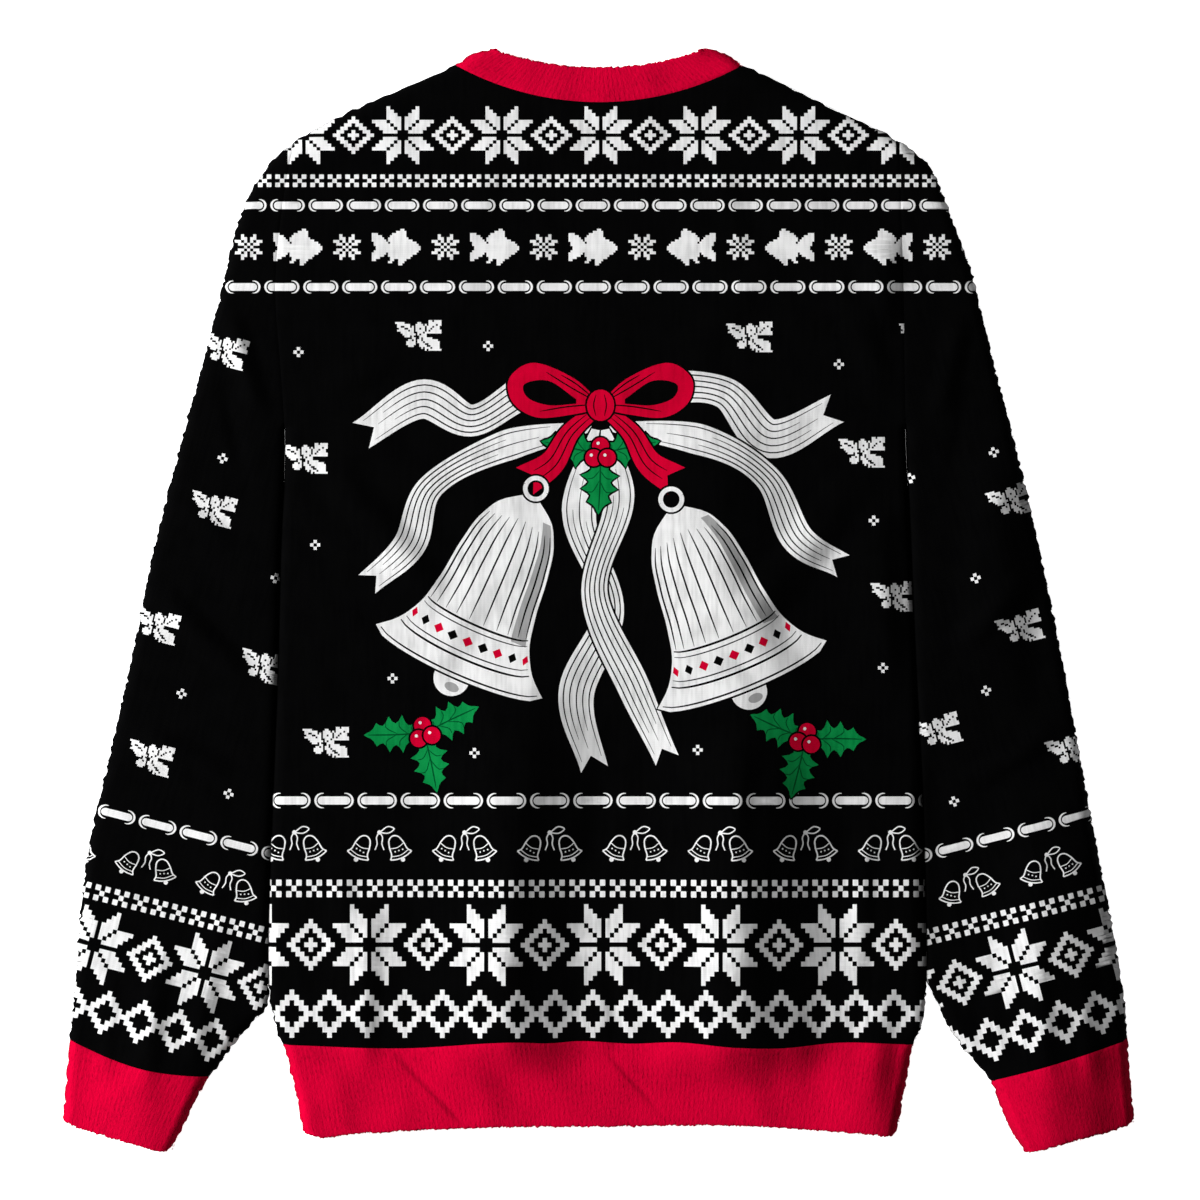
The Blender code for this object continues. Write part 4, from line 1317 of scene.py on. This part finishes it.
def yarn_piece(name, parts, slot, turn):
    """One piece of all the yarn of a colour on a piece of cloth."""
    places, faces, stitches, total = [], [], [], 0
    for part_places, part_faces, part_flat, way in parts:
        places.append(part_places)
        stitches.append(stitch_places(part_flat, turn, way))
        faces += [[v + total for v in face] for face in part_faces]
        total += len(part_places)
    piece = make_piece(name, np.concatenate(places), faces, MATERIALS[SLOTS[slot]], np.concatenate(stitches))
    return piece


def join_outlines(outlines):
    """Both layers of a tube get all the points that either has on their common folds."""
    loops = []
    for (loop, seam), (other, _) in (outlines, outlines[::-1]):
        new_loop, new_seam = [], []
        for a, b, is_seam in zip(loop, np.roll(loop, -1, axis=0), seam):
            new_loop.append(a)
            new_seam.append(is_seam)
            if is_seam:
                continue
            along = b - a
            t = ((other - a) @ along) / (along @ along)
            off = np.linalg.norm(other - a - t[:, None] * along, axis=1)
            for value in sorted(t[(off < SAME_PLACE) & (t > SAME_PLACE) & (t < 1 - SAME_PLACE)]):
                new_loop.append(a + along * value)
                new_seam.append(False)
        loops.append((np.array(new_loop), np.array(new_seam)))
    return loops


def outline_of(lines):
    """A closed outline from lines end to end, each (points, is a seam), and its seam marks."""
    points, seam = [], []
    for line, is_seam in lines:
        points.append(line[:-1])
        seam += [is_seam] * (len(line) - 1)
    return np.concatenate(points), np.array(seam)


def panel_sheet(way):
    """The outline of the back (way 1) or the front (way -1)."""
    if way > 0:
        neck_x = np.linspace(-NECK_HALF, NECK_HALF, 64)
        radius = (NECK_HALF ** 2 + BACK_NECK_DROP ** 2) / (2 * BACK_NECK_DROP)
        neck = plan(neck_x, NECK_POINT_DOWN + BACK_NECK_DROP - radius + np.sqrt(radius ** 2 - neck_x ** 2))
    else:
        neck = bowl(np.linspace(0.0, 1.0, 90), NECK_HALF, NECK_POINT_DOWN, FRONT_NECK_DROP)
    lines = [(neck, True)]
    shoulder = samples(NECK_POINT_DOWN, SHOULDER_DOWN, OUTLINE_STEP)
    side = samples(SHOULDER_DOWN, HEM_SEAM[0][1] - SEAM_GAP / 2, OUTLINE_STEP)
    lines.append((edge_line(SHOULDER, "right", shoulder), True))
    lines.append((edge_line(SIDE, "right", side), True))
    hem_x = np.linspace(HEM_SEAM[-1][0], HEM_SEAM[0][0], 140)
    hem = plan(hem_x, hem_seam(hem_x, way) - SEAM_GAP / 2)
    hem[0], hem[-1] = edge_line(SIDE, "right", side[-1]), edge_line(SIDE, "left", side[-1])
    lines.append((hem, True))
    lines.append((edge_line(SIDE, "left", side[::-1]), True))
    lines.append((edge_line(SHOULDER, "left", shoulder[::-1]), True))
    loop, seam = outline_of(lines)
    return Sheet(loop, seam, "body", way, CLOTH, SEAM_GAP / 2)


def sleeve_sheets(side):
    """The two layers of a sleeve."""
    steps = int((CUFF_SEAM_OUTER - SHOULDER_DOWN) / OUTLINE_STEP)
    along = np.linspace(0.0, 1.0, steps)
    across = np.linspace(0.0, 1.0, 42)
    short = np.linspace(0.0, 1.0, 34)
    zero, one = np.zeros_like, np.ones_like
    lines = [
        (sleeve_point(side, along, zero(along)), False),
        (sleeve_point(side, one(short), short), True),
        (sleeve_point(side, along[::-1], one(along)), False),
        (sleeve_point(side, zero(across), across[::-1]), True),
    ]
    loop, seam = outline_of(lines)
    return [Sheet(loop, seam, "sleeve", way, CLOTH) for way in (1, -1)]


# ---- ribbed bands ----

RIB_PROFILE = ((0.0, 0.0), (0.16, 0.62), (0.36, 0.98), (0.64, 0.98), (0.84, 0.62))
ROW_HEIGHT = 2.4          # height of a row of faces on a band
RIB_ROUGH = 0.06          # height of a band's small unevenness
END_FRAY, END_REACH = 0.5, 2.6   # how far a band's free edge wanders, and how far in that reaches
LIP = 1.3                 # how far from its free edge a doubled band is rounded
LIP_STEPS = (0.0, 0.12, 0.4, 0.8, 1.3)
SEAM_STEPS = (0.0, 0.4, 1.0, 2.2)   # rows of points beside its seam, and where the even rows begin and end
NET_FROM, NET_TO = 4.2, 3.2


def rib_places(width):
    """Places from 0 to 1 across a band that follow every rib, and the rise at each."""
    count = round(width / RIB_PITCH)
    places = [(k + at) / count for k in range(count) for at, _ in RIB_PROFILE] + [1.0]
    rises = [RIB_RISE * rise for _ in range(count) for _, rise in RIB_PROFILE] + [0.0]
    return np.array(places), np.array(rises), count


def spread(width, count):
    """Places from 0 to 1 across a width: close at both folded edges, even between them."""
    near = EDGE_ROUND * (1 - np.cos(np.radians((0.0,) + CURL_ANGLES))) / width
    middle = np.linspace(near[-1], 1 - near[-1], count + 1)[1:-1]
    return np.concatenate([near, middle, 1 - near[::-1]])


def band(name, upper_at, lower_at, kind, width, height, lower_count, node):
    """A ribbed tube. The two functions give places in plan for (along, across)."""
    rows = np.concatenate([np.array(SEAM_STEPS) / height,
                           np.linspace(NET_FROM / height, 1 - NET_TO / height, int(height / ROW_HEIGHT)),
                           1 - np.array(LIP_STEPS)[::-1] / height])
    places, rises, count = rib_places(width)
    lower_places = spread(width, lower_count)
    upper = upper_at(*np.broadcast_arrays(rows[:, None], places[None]))
    lower = lower_at(*np.broadcast_arrays(rows[:, None], lower_places[None]))
    from_seam, from_end = rows * height, (1 - rows) * height
    loose = END_FRAY * np.clip(1 - from_end / END_REACH, 0.0, 1.0)[:, None]
    for layer in (upper, lower):
        layer += np.stack([loose * waves(layer, 18, 1.9, 5.0, BUILD_SEED + k) for k in (4, 5)], axis=-1)
    heart = np.zeros((len(rows), 1, 2)) if kind == "body" else upper.mean(axis=1, keepdims=True)
    dip = SEAM_ROLL * np.clip(1 - from_seam / SEAM_WIDTH, 0.0, 1.0) ** 2
    shown = np.clip(from_seam / 2.0, 0.25, 1.0)[:, None] * np.clip(from_end / 1.2, 0.3, 1.0)[:, None]
    rough = RIB_ROUGH * waves(upper, 24, 2.0, 8.0, BUILD_SEED + 3)
    tuck = RIB / 2 * (1 - np.sqrt(1 - np.clip(1 - from_end / LIP, 0.0, 1.0) ** 2))
    top = lie(upper, kind, heart, RIB, 1, rise=rises[None] * shown + rough, dip=(dip + tuck)[:, None])
    low = lie(lower, kind, heart, RIB, -1, dip=(0.2 * dip + tuck)[:, None])
    top[1][..., 2] += tuck[:, None]
    low[1][..., 2] -= tuck[:, None]
    walls = np.stack([np.concatenate([a, b[:, -2:0:-1]], axis=1) for a, b in zip(top, low)])
    across = np.concatenate([places * count, lower_places[-2:0:-1] * count])
    # painted shade on the band's upper layer, from the same folds and hollows
    shade = np.concatenate([lee(upper), np.zeros_like(lower[:, -2:0:-1, 0])], axis=1)
    knit = np.stack(np.broadcast_arrays(across[None], from_seam[:, None], shade), axis=-1).reshape(-1, 3)
    index = np.arange(walls[..., 0].size).reshape(walls.shape[:3])
    beside = np.roll(index, -1, axis=2)
    faces = np.stack([index[:, :-1], beside[:, :-1], beside[:, 1:], index[:, 1:]], axis=-1)
    ends = np.stack([index[0], beside[0], beside[1], index[1]], axis=-1)[[0, -1]]
    faces = faces.reshape(-1, 4).tolist() + ends.reshape(-1, 4).tolist()
    piece = make_piece(name, walls.reshape(-1, 3), faces, MATERIALS["rib"], np.concatenate([knit, knit]),
                       merge=MERGE_BAND)
    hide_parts(node)
    return piece


def collar_functions():
    """Places on the neckband's back half and front half."""
    fold = math.hypot(NECK_HALF - BAND_TOP_HALF, NECK_POINT_DOWN)
    seam_half = NECK_HALF - NECK_GAP * (NECK_HALF - BAND_TOP_HALF) / fold
    seam_down = NECK_POINT_DOWN * (1 - NECK_GAP / fold)
    back_end = NECK_POINT_DOWN + BACK_NECK_DROP - SEAM_GAP
    front_end = NECK_POINT_DOWN + FRONT_NECK_DROP - SEAM_GAP

    def bulge(along, across):
        near = np.clip(1 - np.minimum(across, 1 - across) / BULGE_REACH, 0.0, 1.0) ** 2
        outward = BULGE_WAY * np.stack([np.where(across < 0.5, -1.0, 1.0), np.ones_like(across)], axis=-1)
        return outward * (BAND_BULGE * np.sin(math.pi * along) * near)[..., None]

    def upper(along, across):
        seam = arc(across, seam_half, seam_down, back_end - seam_down)
        edge = arc(across, BAND_TOP_HALF, BAND_TOP_DOWN, back_end - BAND_HEIGHT - BAND_TOP_DOWN)
        return seam + (edge - seam) * along[..., None] + bulge(along, across)

    def lower(along, across):
        seam = bowl(across, seam_half, seam_down, front_end - seam_down)
        edge = bowl(across, BAND_TOP_HALF, BAND_TOP_DOWN, front_end - BAND_HEIGHT - BAND_TOP_DOWN)
        return seam + (edge - seam) * along[..., None] + bulge(along, across)

    return upper, lower


# ---- fibres along the garment's outline ----

HAIR_SPACING = 1.1        # one fibre for about every so many millimetres of outline
HAIR_LONGEST = 1.25
HAIR_THICK = 0.2
HAIR_ROOT = 0.25          # how deep a fibre is rooted
UPPER_SHARE = 0.65        # the share of fibres on the upper layer


def fibres(name, roots, outward, finish, seed):
    """Short tapered fibres, each three-sided, bent once and closed at its root."""
    draw = np.random.default_rng(seed)
    count = len(roots)
    up = np.array([0.0, 0.0, 1.0])
    beside = np.cross(outward, up)
    length = HAIR_LONGEST * (0.25 + 0.75 * draw.random((count, 1)) ** 1.6)
    way = outward + beside * draw.normal(0.0, 0.55, (count, 1)) + up * draw.normal(0.1, 0.3, (count, 1))
    way /= np.linalg.norm(way, axis=1, keepdims=True)
    bend = beside * draw.normal(0.0, 0.4, (count, 1)) + up * draw.normal(-0.1, 0.2, (count, 1))
    first = np.cross(way, up)
    first /= np.linalg.norm(first, axis=1, keepdims=True)
    second = np.cross(way, first)
    thick = HAIR_THICK * (0.7 + 0.6 * draw.random((count, 1)))
    rows = []
    for share, size in ((0.0, 1.0), (0.5, 0.75)):
        middle = roots + way * (length * share - HAIR_ROOT * (share == 0.0)) + bend * length * share ** 2
        for turn in (90.0, 210.0, 330.0):
            c, s = math.cos(math.radians(turn)), math.sin(math.radians(turn))
            rows.append(middle + (first * c + second * s) * thick * size)
    rows.append(roots + (way + bend) * length)
    places = np.stack(rows, axis=1).reshape(-1, 3)
    places[:, 2] = np.maximum(places[:, 2], HAIR_THICK)
    one = ((0, 2, 1), (0, 1, 4, 3), (1, 2, 5, 4), (2, 0, 3, 5), (3, 4, 6), (4, 5, 6), (5, 3, 6))
    faces = [[7 * k + v for v in face] for k in range(count) for face in one]
    piece = make_piece(name, places, faces, finish, stitch_places(places[:, :2], 0.0, 1))
    return piece


def edge_roots(line, side_in, seed, free=False):
    """Roots and ways out for fibres along an edge. `side_in` is a place on the cloth's side of it."""
    draw = np.random.default_rng(seed)
    steps = np.linalg.norm(np.diff(line, axis=0), axis=1)
    run = np.concatenate([[0.0], np.cumsum(steps)])
    count = int(run[-1] / HAIR_SPACING)
    at = np.sort(draw.random(count)) * run[-1]
    place, ahead, back = (np.stack([np.interp(at + off, run, line[:, k]) for k in (0, 1)], axis=-1)
                          for off in (0.0, 0.5, -0.5))
    along = ahead - back
    along /= np.linalg.norm(along, axis=1, keepdims=True)
    outward = along[:, ::-1] * (1.0, -1.0)
    outward *= -np.sign((outward * (side_in - place)).sum(axis=1, keepdims=True))
    depth = 0.2 + 1.2 * draw.random(count)
    turn = 1 - depth / EDGE_ROUND
    lift = THICKNESS / 2 * np.sqrt(1 - turn * turn)
    if free:
        depth = 0.1 + 0.5 * draw.random(count)
        lift = THICKNESS / 2 - RIB * (0.12 + 0.7 * draw.random(count))
    upper = draw.random(count) < UPPER_SHARE
    z = THICKNESS / 2 + np.where(upper, lift, np.maximum(-lift, 2 * HAIR_THICK - THICKNESS / 2))
    if free:
        z = z + np.where(upper, upper_lift(place), 0.0)
    roots = np.concatenate([place - outward * depth[:, None], z[:, None]], axis=-1)
    return roots, np.concatenate([outward, np.zeros((count, 1))], axis=-1)


# ---- materials ----

class Finish:
    """A material while it is made: its main shader, and helpers that add and join nodes."""

    def __init__(self, name, roughness, specular=0.02):
        self.made = bpy.data.materials.new(name)
        self.made.use_nodes = True
        self.tree = self.made.node_tree
        self.main = self.tree.nodes["Principled BSDF"]
        self.fill(self.main, {"Roughness": roughness, "Specular IOR Level": specular})

    def fill(self, node, inputs):
        """Values or other nodes' outputs for a node's inputs."""
        for socket, value in inputs.items():
            if isinstance(value, bpy.types.NodeSocket):
                self.tree.links.new(value, node.inputs[socket])
            else:
                node.inputs[socket].default_value = value

    def add(self, kind, inputs, **settings):
        """The outputs of a new node."""
        node = self.tree.nodes.new("ShaderNode" + kind)
        for key, value in settings.items():
            setattr(node, key, value)
        self.fill(node, inputs)
        return node.outputs

    def calc(self, operation, *values, clamp=False):
        """One step of arithmetic."""
        return self.add("Math", dict(enumerate(values)), operation=operation, use_clamp=clamp)[0]

    def total(self, *parts):
        """The sum of pairs of a value and its weight."""
        result = 0.0
        for value, weight in parts:
            result = self.calc("MULTIPLY_ADD", value, weight, result)
        return result

    def vector(self, operation, *values):
        """One step of vector arithmetic."""
        return self.add("VectorMath", dict(enumerate(values)), operation=operation)[0]

    def noise(self, vector, scale, detail, roughness=0.5):
        """An uneven value between 0 and 1."""
        inputs = {"Vector": vector, "Scale": scale, "Detail": detail, "Roughness": roughness}
        return self.add("TexNoise", inputs)[0]

    def ramp(self, value, first, last, middle=()):
        """The colour at a value, from stops that are each (position, colour)."""
        node = self.tree.nodes.new("ShaderNodeValToRGB")
        self.fill(node, {0: value})
        elements = node.color_ramp.elements
        for element, (at, colour) in ((elements[0], first), (elements[1], last)):
            element.position, element.color = at, (*colour, 1.0)
        for at, colour in middle:
            elements.new(at).color = (*colour, 1.0)
        return node.outputs[0]

    def close(self, colour, shade, height, relief, deep):
        """The material, with painted shade: its colour darker where folds fall away from the light and in
        hollows, and darker as the surface turns from facing up, as over an edge.
        """
        # painted shade: darker on fold slopes away from the light and in hollows
        left = self.calc("SUBTRACT", 1.0, self.calc("MULTIPLY", shade, PAINTED_SHADE))
        # painted shade: the colour scales with how far the surface faces up, so edges turned toward the
        # light come out darker
        upward = self.add("SeparateXYZ", {0: self.add("NewGeometry", {})["Normal"]})[2]
        left = self.calc("MULTIPLY", left, self.calc("ABSOLUTE", upward))
        darker = self.add("VectorMath", {0: colour, "Scale": left}, operation="SCALE")[0]
        bump = self.add("Bump", {"Height": height, "Strength": relief, "Distance": deep})[0]
        self.fill(self.main, {"Base Color": darker, "Normal": bump})
        return self.made


def knit_material(name, dark, light, relief):
    """Plain knit: wales of slanted stitches, with uneven yarn, and painted shade between the stitch legs."""
    knit = Finish(name, 0.92)
    place = knit.add("Attribute", {}, attribute_name="knit")["Vector"]
    wale, course, shade = knit.add("SeparateXYZ", {0: place})
    off = knit.calc("ABSOLUTE", knit.calc("SUBTRACT", knit.calc("FRACT", wale), 0.5))
    leg = knit.calc("SINE", knit.calc("MULTIPLY", off, 2 * math.pi))
    slant = knit.total((course, 1.0), (off, 1.3))
    loop = knit.calc("SINE", knit.calc("MULTIPLY", slant, 2 * math.pi))
    stitch = knit.calc("MULTIPLY", leg, knit.calc("MULTIPLY_ADD", loop, 0.28, 0.62))
    streaks = knit.noise(knit.vector("MULTIPLY", place, (0.55, 0.05, 1.0)), 1.0, 2.0)
    # the stitch relief also tints the colour: painted shade, darker in the grooves between the legs
    mixed = knit.total((streaks, 0.6), (knit.noise(place, 0.07, 2.0), 0.5), (stitch, 0.22))
    colour = knit.ramp(mixed, (0.36, dark), (0.72, light))
    height = knit.total((stitch, 1.0), (knit.noise(place, 2.3, 3.0), 0.8))
    return knit.close(colour, shade, height, relief, 0.0004)


def rib_material(name):
    """Brushed rib: columns of stitches with dotted grooves between them, darker as painted shade."""
    rib = Finish(name, 0.95)
    place = rib.add("Attribute", {}, attribute_name="knit")["Vector"]
    column_at, _, shade = rib.add("SeparateXYZ", {0: place})
    flat = rib.vector("MULTIPLY", place, (RIB_PITCH, 1.0, 0.0))
    tall = rib.vector("MULTIPLY", flat, (1.0, 0.42, 0.0))
    across = rib.total((column_at, 1.0), (rib.noise(flat, 0.3, 2.0), 0.7))
    off = rib.calc("ABSOLUTE", rib.calc("SUBTRACT", rib.calc("FRACT", across), 0.5))
    groove = rib.calc("POWER", rib.calc("MULTIPLY", off, 2.0), 3.0)
    shown = rib.calc("MULTIPLY_ADD", rib.noise(flat, 0.055, 1.0), 3.2, -1.15, clamp=True)
    broken = rib.calc("MULTIPLY_ADD", rib.noise(tall, 1.0, 1.0), 3.0, -0.95, clamp=True)
    groove = rib.calc("MULTIPLY", rib.calc("MULTIPLY", groove, broken), shown)
    dashes, nap = rib.noise(tall, 0.8, 2.0, 0.6), rib.noise(flat, 0.9, 3.0, 0.7)
    # the groove, sunk in the bump, also darkens the tone: painted shade
    tone = rib.total((dashes, 0.45), (nap, 0.3), (rib.noise(flat, 0.035, 2.0), 0.35), (groove, -0.2))
    dark, middle, light = (0.26, (0.24, 0.0, 0.012)), (0.50, (0.61, 0.0, 0.030)), (0.74, (0.76, 0.0, 0.038))
    colour = rib.ramp(tone, dark, light, [middle])
    height = rib.total((nap, 1.0), (dashes, 1.0), (groove, -0.6))
    return rib.close(colour, shade, height, 0.5, 0.0005)


# each knit's material name, its dark and its light colour, and the strength of its relief
KNITS = {
    "ground": ("black_knit", (0.0004, 0.0004, 0.0005), (0.0012, 0.0012, 0.0013), 0.35),
    "white_yarn": ("white_knit", (0.58, 0.58, 0.58), (0.91, 0.91, 0.91), 0.3),
    "grey_yarn": ("grey_knit", (0.26, 0.26, 0.26), (0.38, 0.38, 0.38), 0.25),
    "black_line": ("line_knit", (0.0005, 0.0005, 0.0005), (0.0012, 0.0012, 0.0012), 0.35),
    "red_yarn": ("red_knit", (0.44, 0.0, 0.018), (0.66, 0.0, 0.03), 0.3),
    "green_yarn": ("green_knit", (0.0, 0.16, 0.035), (0.004, 0.26, 0.06), 0.3),
    "green_dark": ("dark_green_knit", (0.0, 0.05, 0.012), (0.0, 0.08, 0.02), 0.3),
    "rib_fibre": ("red_fibre", (0.50, 0.0, 0.022), (0.66, 0.0, 0.032), 0.1),
}
MATERIALS = {slot: knit_material(*row) for slot, row in KNITS.items()}
MATERIALS["rib"] = rib_material("red_rib")

# ---- the garment ----

pieces, bands = {}, {}
pieces["back"] = cloth("back_cloth", [panel_sheet(1)], [body_design(picture())], 0.0, "back")
pieces["front"] = cloth("front_cloth", [panel_sheet(-1)], [body_design([])], 0.0, "front")
for side in ("left", "right"):
    design = sleeve_design(side)
    pieces["sleeve_" + side] = cloth(f"sleeve_{side}_cloth", sleeve_sheets(side), [design, design],
                                     SLEEVE_TURN * sign(side), "sleeve_" + side)
    cuff_at = partial(cuff_point, side)
    bands["cuff_" + side] = band(f"cuff_{side}_rib", cuff_at, cuff_at, "sleeve", 87.0, 53.0, 14,
                                 "cuff_" + side)
bands["hem_band"] = band("hem_rib", partial(hem_point, way=1), partial(hem_point, way=-1),
                         "body", 400.0, 56.0, 60, "hem_band")
back_half, front_half = collar_functions()
bands["collar"] = band("collar_rib", back_half, front_half, "body", 176.0, BAND_HEIGHT, 90, "collar")

nap_edges = {"black_knit": [], "red_rib": []}


def nap(slot, seed, line, middle=(0.0, 0.0), free=False):
    """Fibres along one more edge."""
    nap_edges[slot].append(edge_roots(line, np.array(middle), BUILD_SEED + seed, free))


for seed, side in ((20, "left"), (40, "right")):
    on_sleeve, on_cuff = plan(sign(side) * 270.0, 600.0), plan(sign(side) * 318.0, 690.0)
    seam_inner, hem_down = CUFF_SEAM_INNER[side], HEM_SEAM[0][1]
    nap("black_knit", seed, edge_line(SHOULDER, side, samples(NECK_POINT_DOWN, SHOULDER_DOWN, 2.0)))
    nap("black_knit", seed + 1, edge_line(OUTER, side, samples(SHOULDER_DOWN, CUFF_SEAM_OUTER, 2.0)))
    nap("black_knit", seed + 2, inner_edge(side, samples(624.0, seam_inner, 2.0)), on_sleeve)
    nap("black_knit", seed + 3, edge_line(SIDE, side, samples(634.0, hem_down, 2.0)))
    nap("red_rib", seed + 4, edge_line(OUTER, side, samples(CUFF_SEAM_OUTER, CUFF_END_OUTER, 2.0)), on_cuff)
    nap("red_rib", seed + 5, inner_edge(side, samples(seam_inner, CUFF_END_INNER, 2.0)), on_cuff)
    nap("red_rib", seed + 6, cuff_point(side, np.ones(40), np.linspace(0.03, 0.97, 40)), on_cuff, free=True)
    nap("red_rib", seed + 7, edge_line(SIDE, side, samples(hem_down, HEM_END[0][1], 2.0)))
    nap("red_rib", seed + 8, band_side(side, np.linspace(0.0, 1.0, 17)))
nap("red_rib", 60, hem_point(np.ones(200), np.linspace(0.01, 0.99, 200), 1), free=True)
nap("red_rib", 61, back_half(np.ones(100), np.linspace(0.03, 0.97, 100)), free=True)
for slot, finish in (("black_knit", "ground"), ("red_rib", "rib_fibre")):
    roots, outward = (np.concatenate(part) for part in zip(*nap_edges[slot]))
    fibres(f"fibres_{slot}", roots, outward, MATERIALS[finish], BUILD_SEED + 70)

# ---- floor, light and camera ----

floor_mesh = bpy.data.meshes.new("floor")
floor_mesh.from_pydata([(-6, -6, 0), (6, -6, 0), (6, 6, 0), (-6, 6, 0)], [], [(0, 1, 2, 3)])
floor = bpy.data.objects.new("floor", floor_mesh)
floor.location.z = -0.0004
bpy.context.scene.collection.objects.link(floor)
pale = Finish("pale_floor", 0.9, 0.1)
pale.fill(pale.main, {"Base Color": (0.9, 0.9, 0.9, 1.0), "Emission Color": (1.0, 1.0, 1.0, 1.0),
                      "Emission Strength": 1.0})
floor_mesh.materials.append(pale.made)

world = bpy.data.worlds.new("studio")
world.use_nodes = True
world.node_tree.nodes["Background"].inputs[0].default_value = (1.0, 1.0, 1.0, 1.0)
world.node_tree.nodes["Background"].inputs[1].default_value = 0.08
bpy.context.scene.world = world
lamp_data = bpy.data.lights.new("key", "AREA")
lamp_data.shape = "SQUARE"
lamp_data.size = 1.2
lamp_data.energy = 290.0
lamp = bpy.data.objects.new("key", lamp_data)
lamp.location = (-3.4, 0.5, 1.65)
lamp.rotation_euler = lamp.location.to_track_quat("Z", "Y").to_euler()
bpy.context.scene.collection.objects.link(lamp)

VIEW_WIDE = 0.792         # metres across the view at the garment
LENS, SENSOR = 200.0, 36.0
camera_data = bpy.data.cameras.new("camera")
camera_data.lens = LENS
camera_data.sensor_width = SENSOR
camera = bpy.data.objects.new("camera", camera_data)
camera.location = (0.00066, -0.0003, VIEW_WIDE * LENS / SENSOR)
bpy.context.scene.collection.objects.link(camera)
bpy.context.scene.camera = camera
bpy.context.scene.view_settings.view_transform = "Standard"
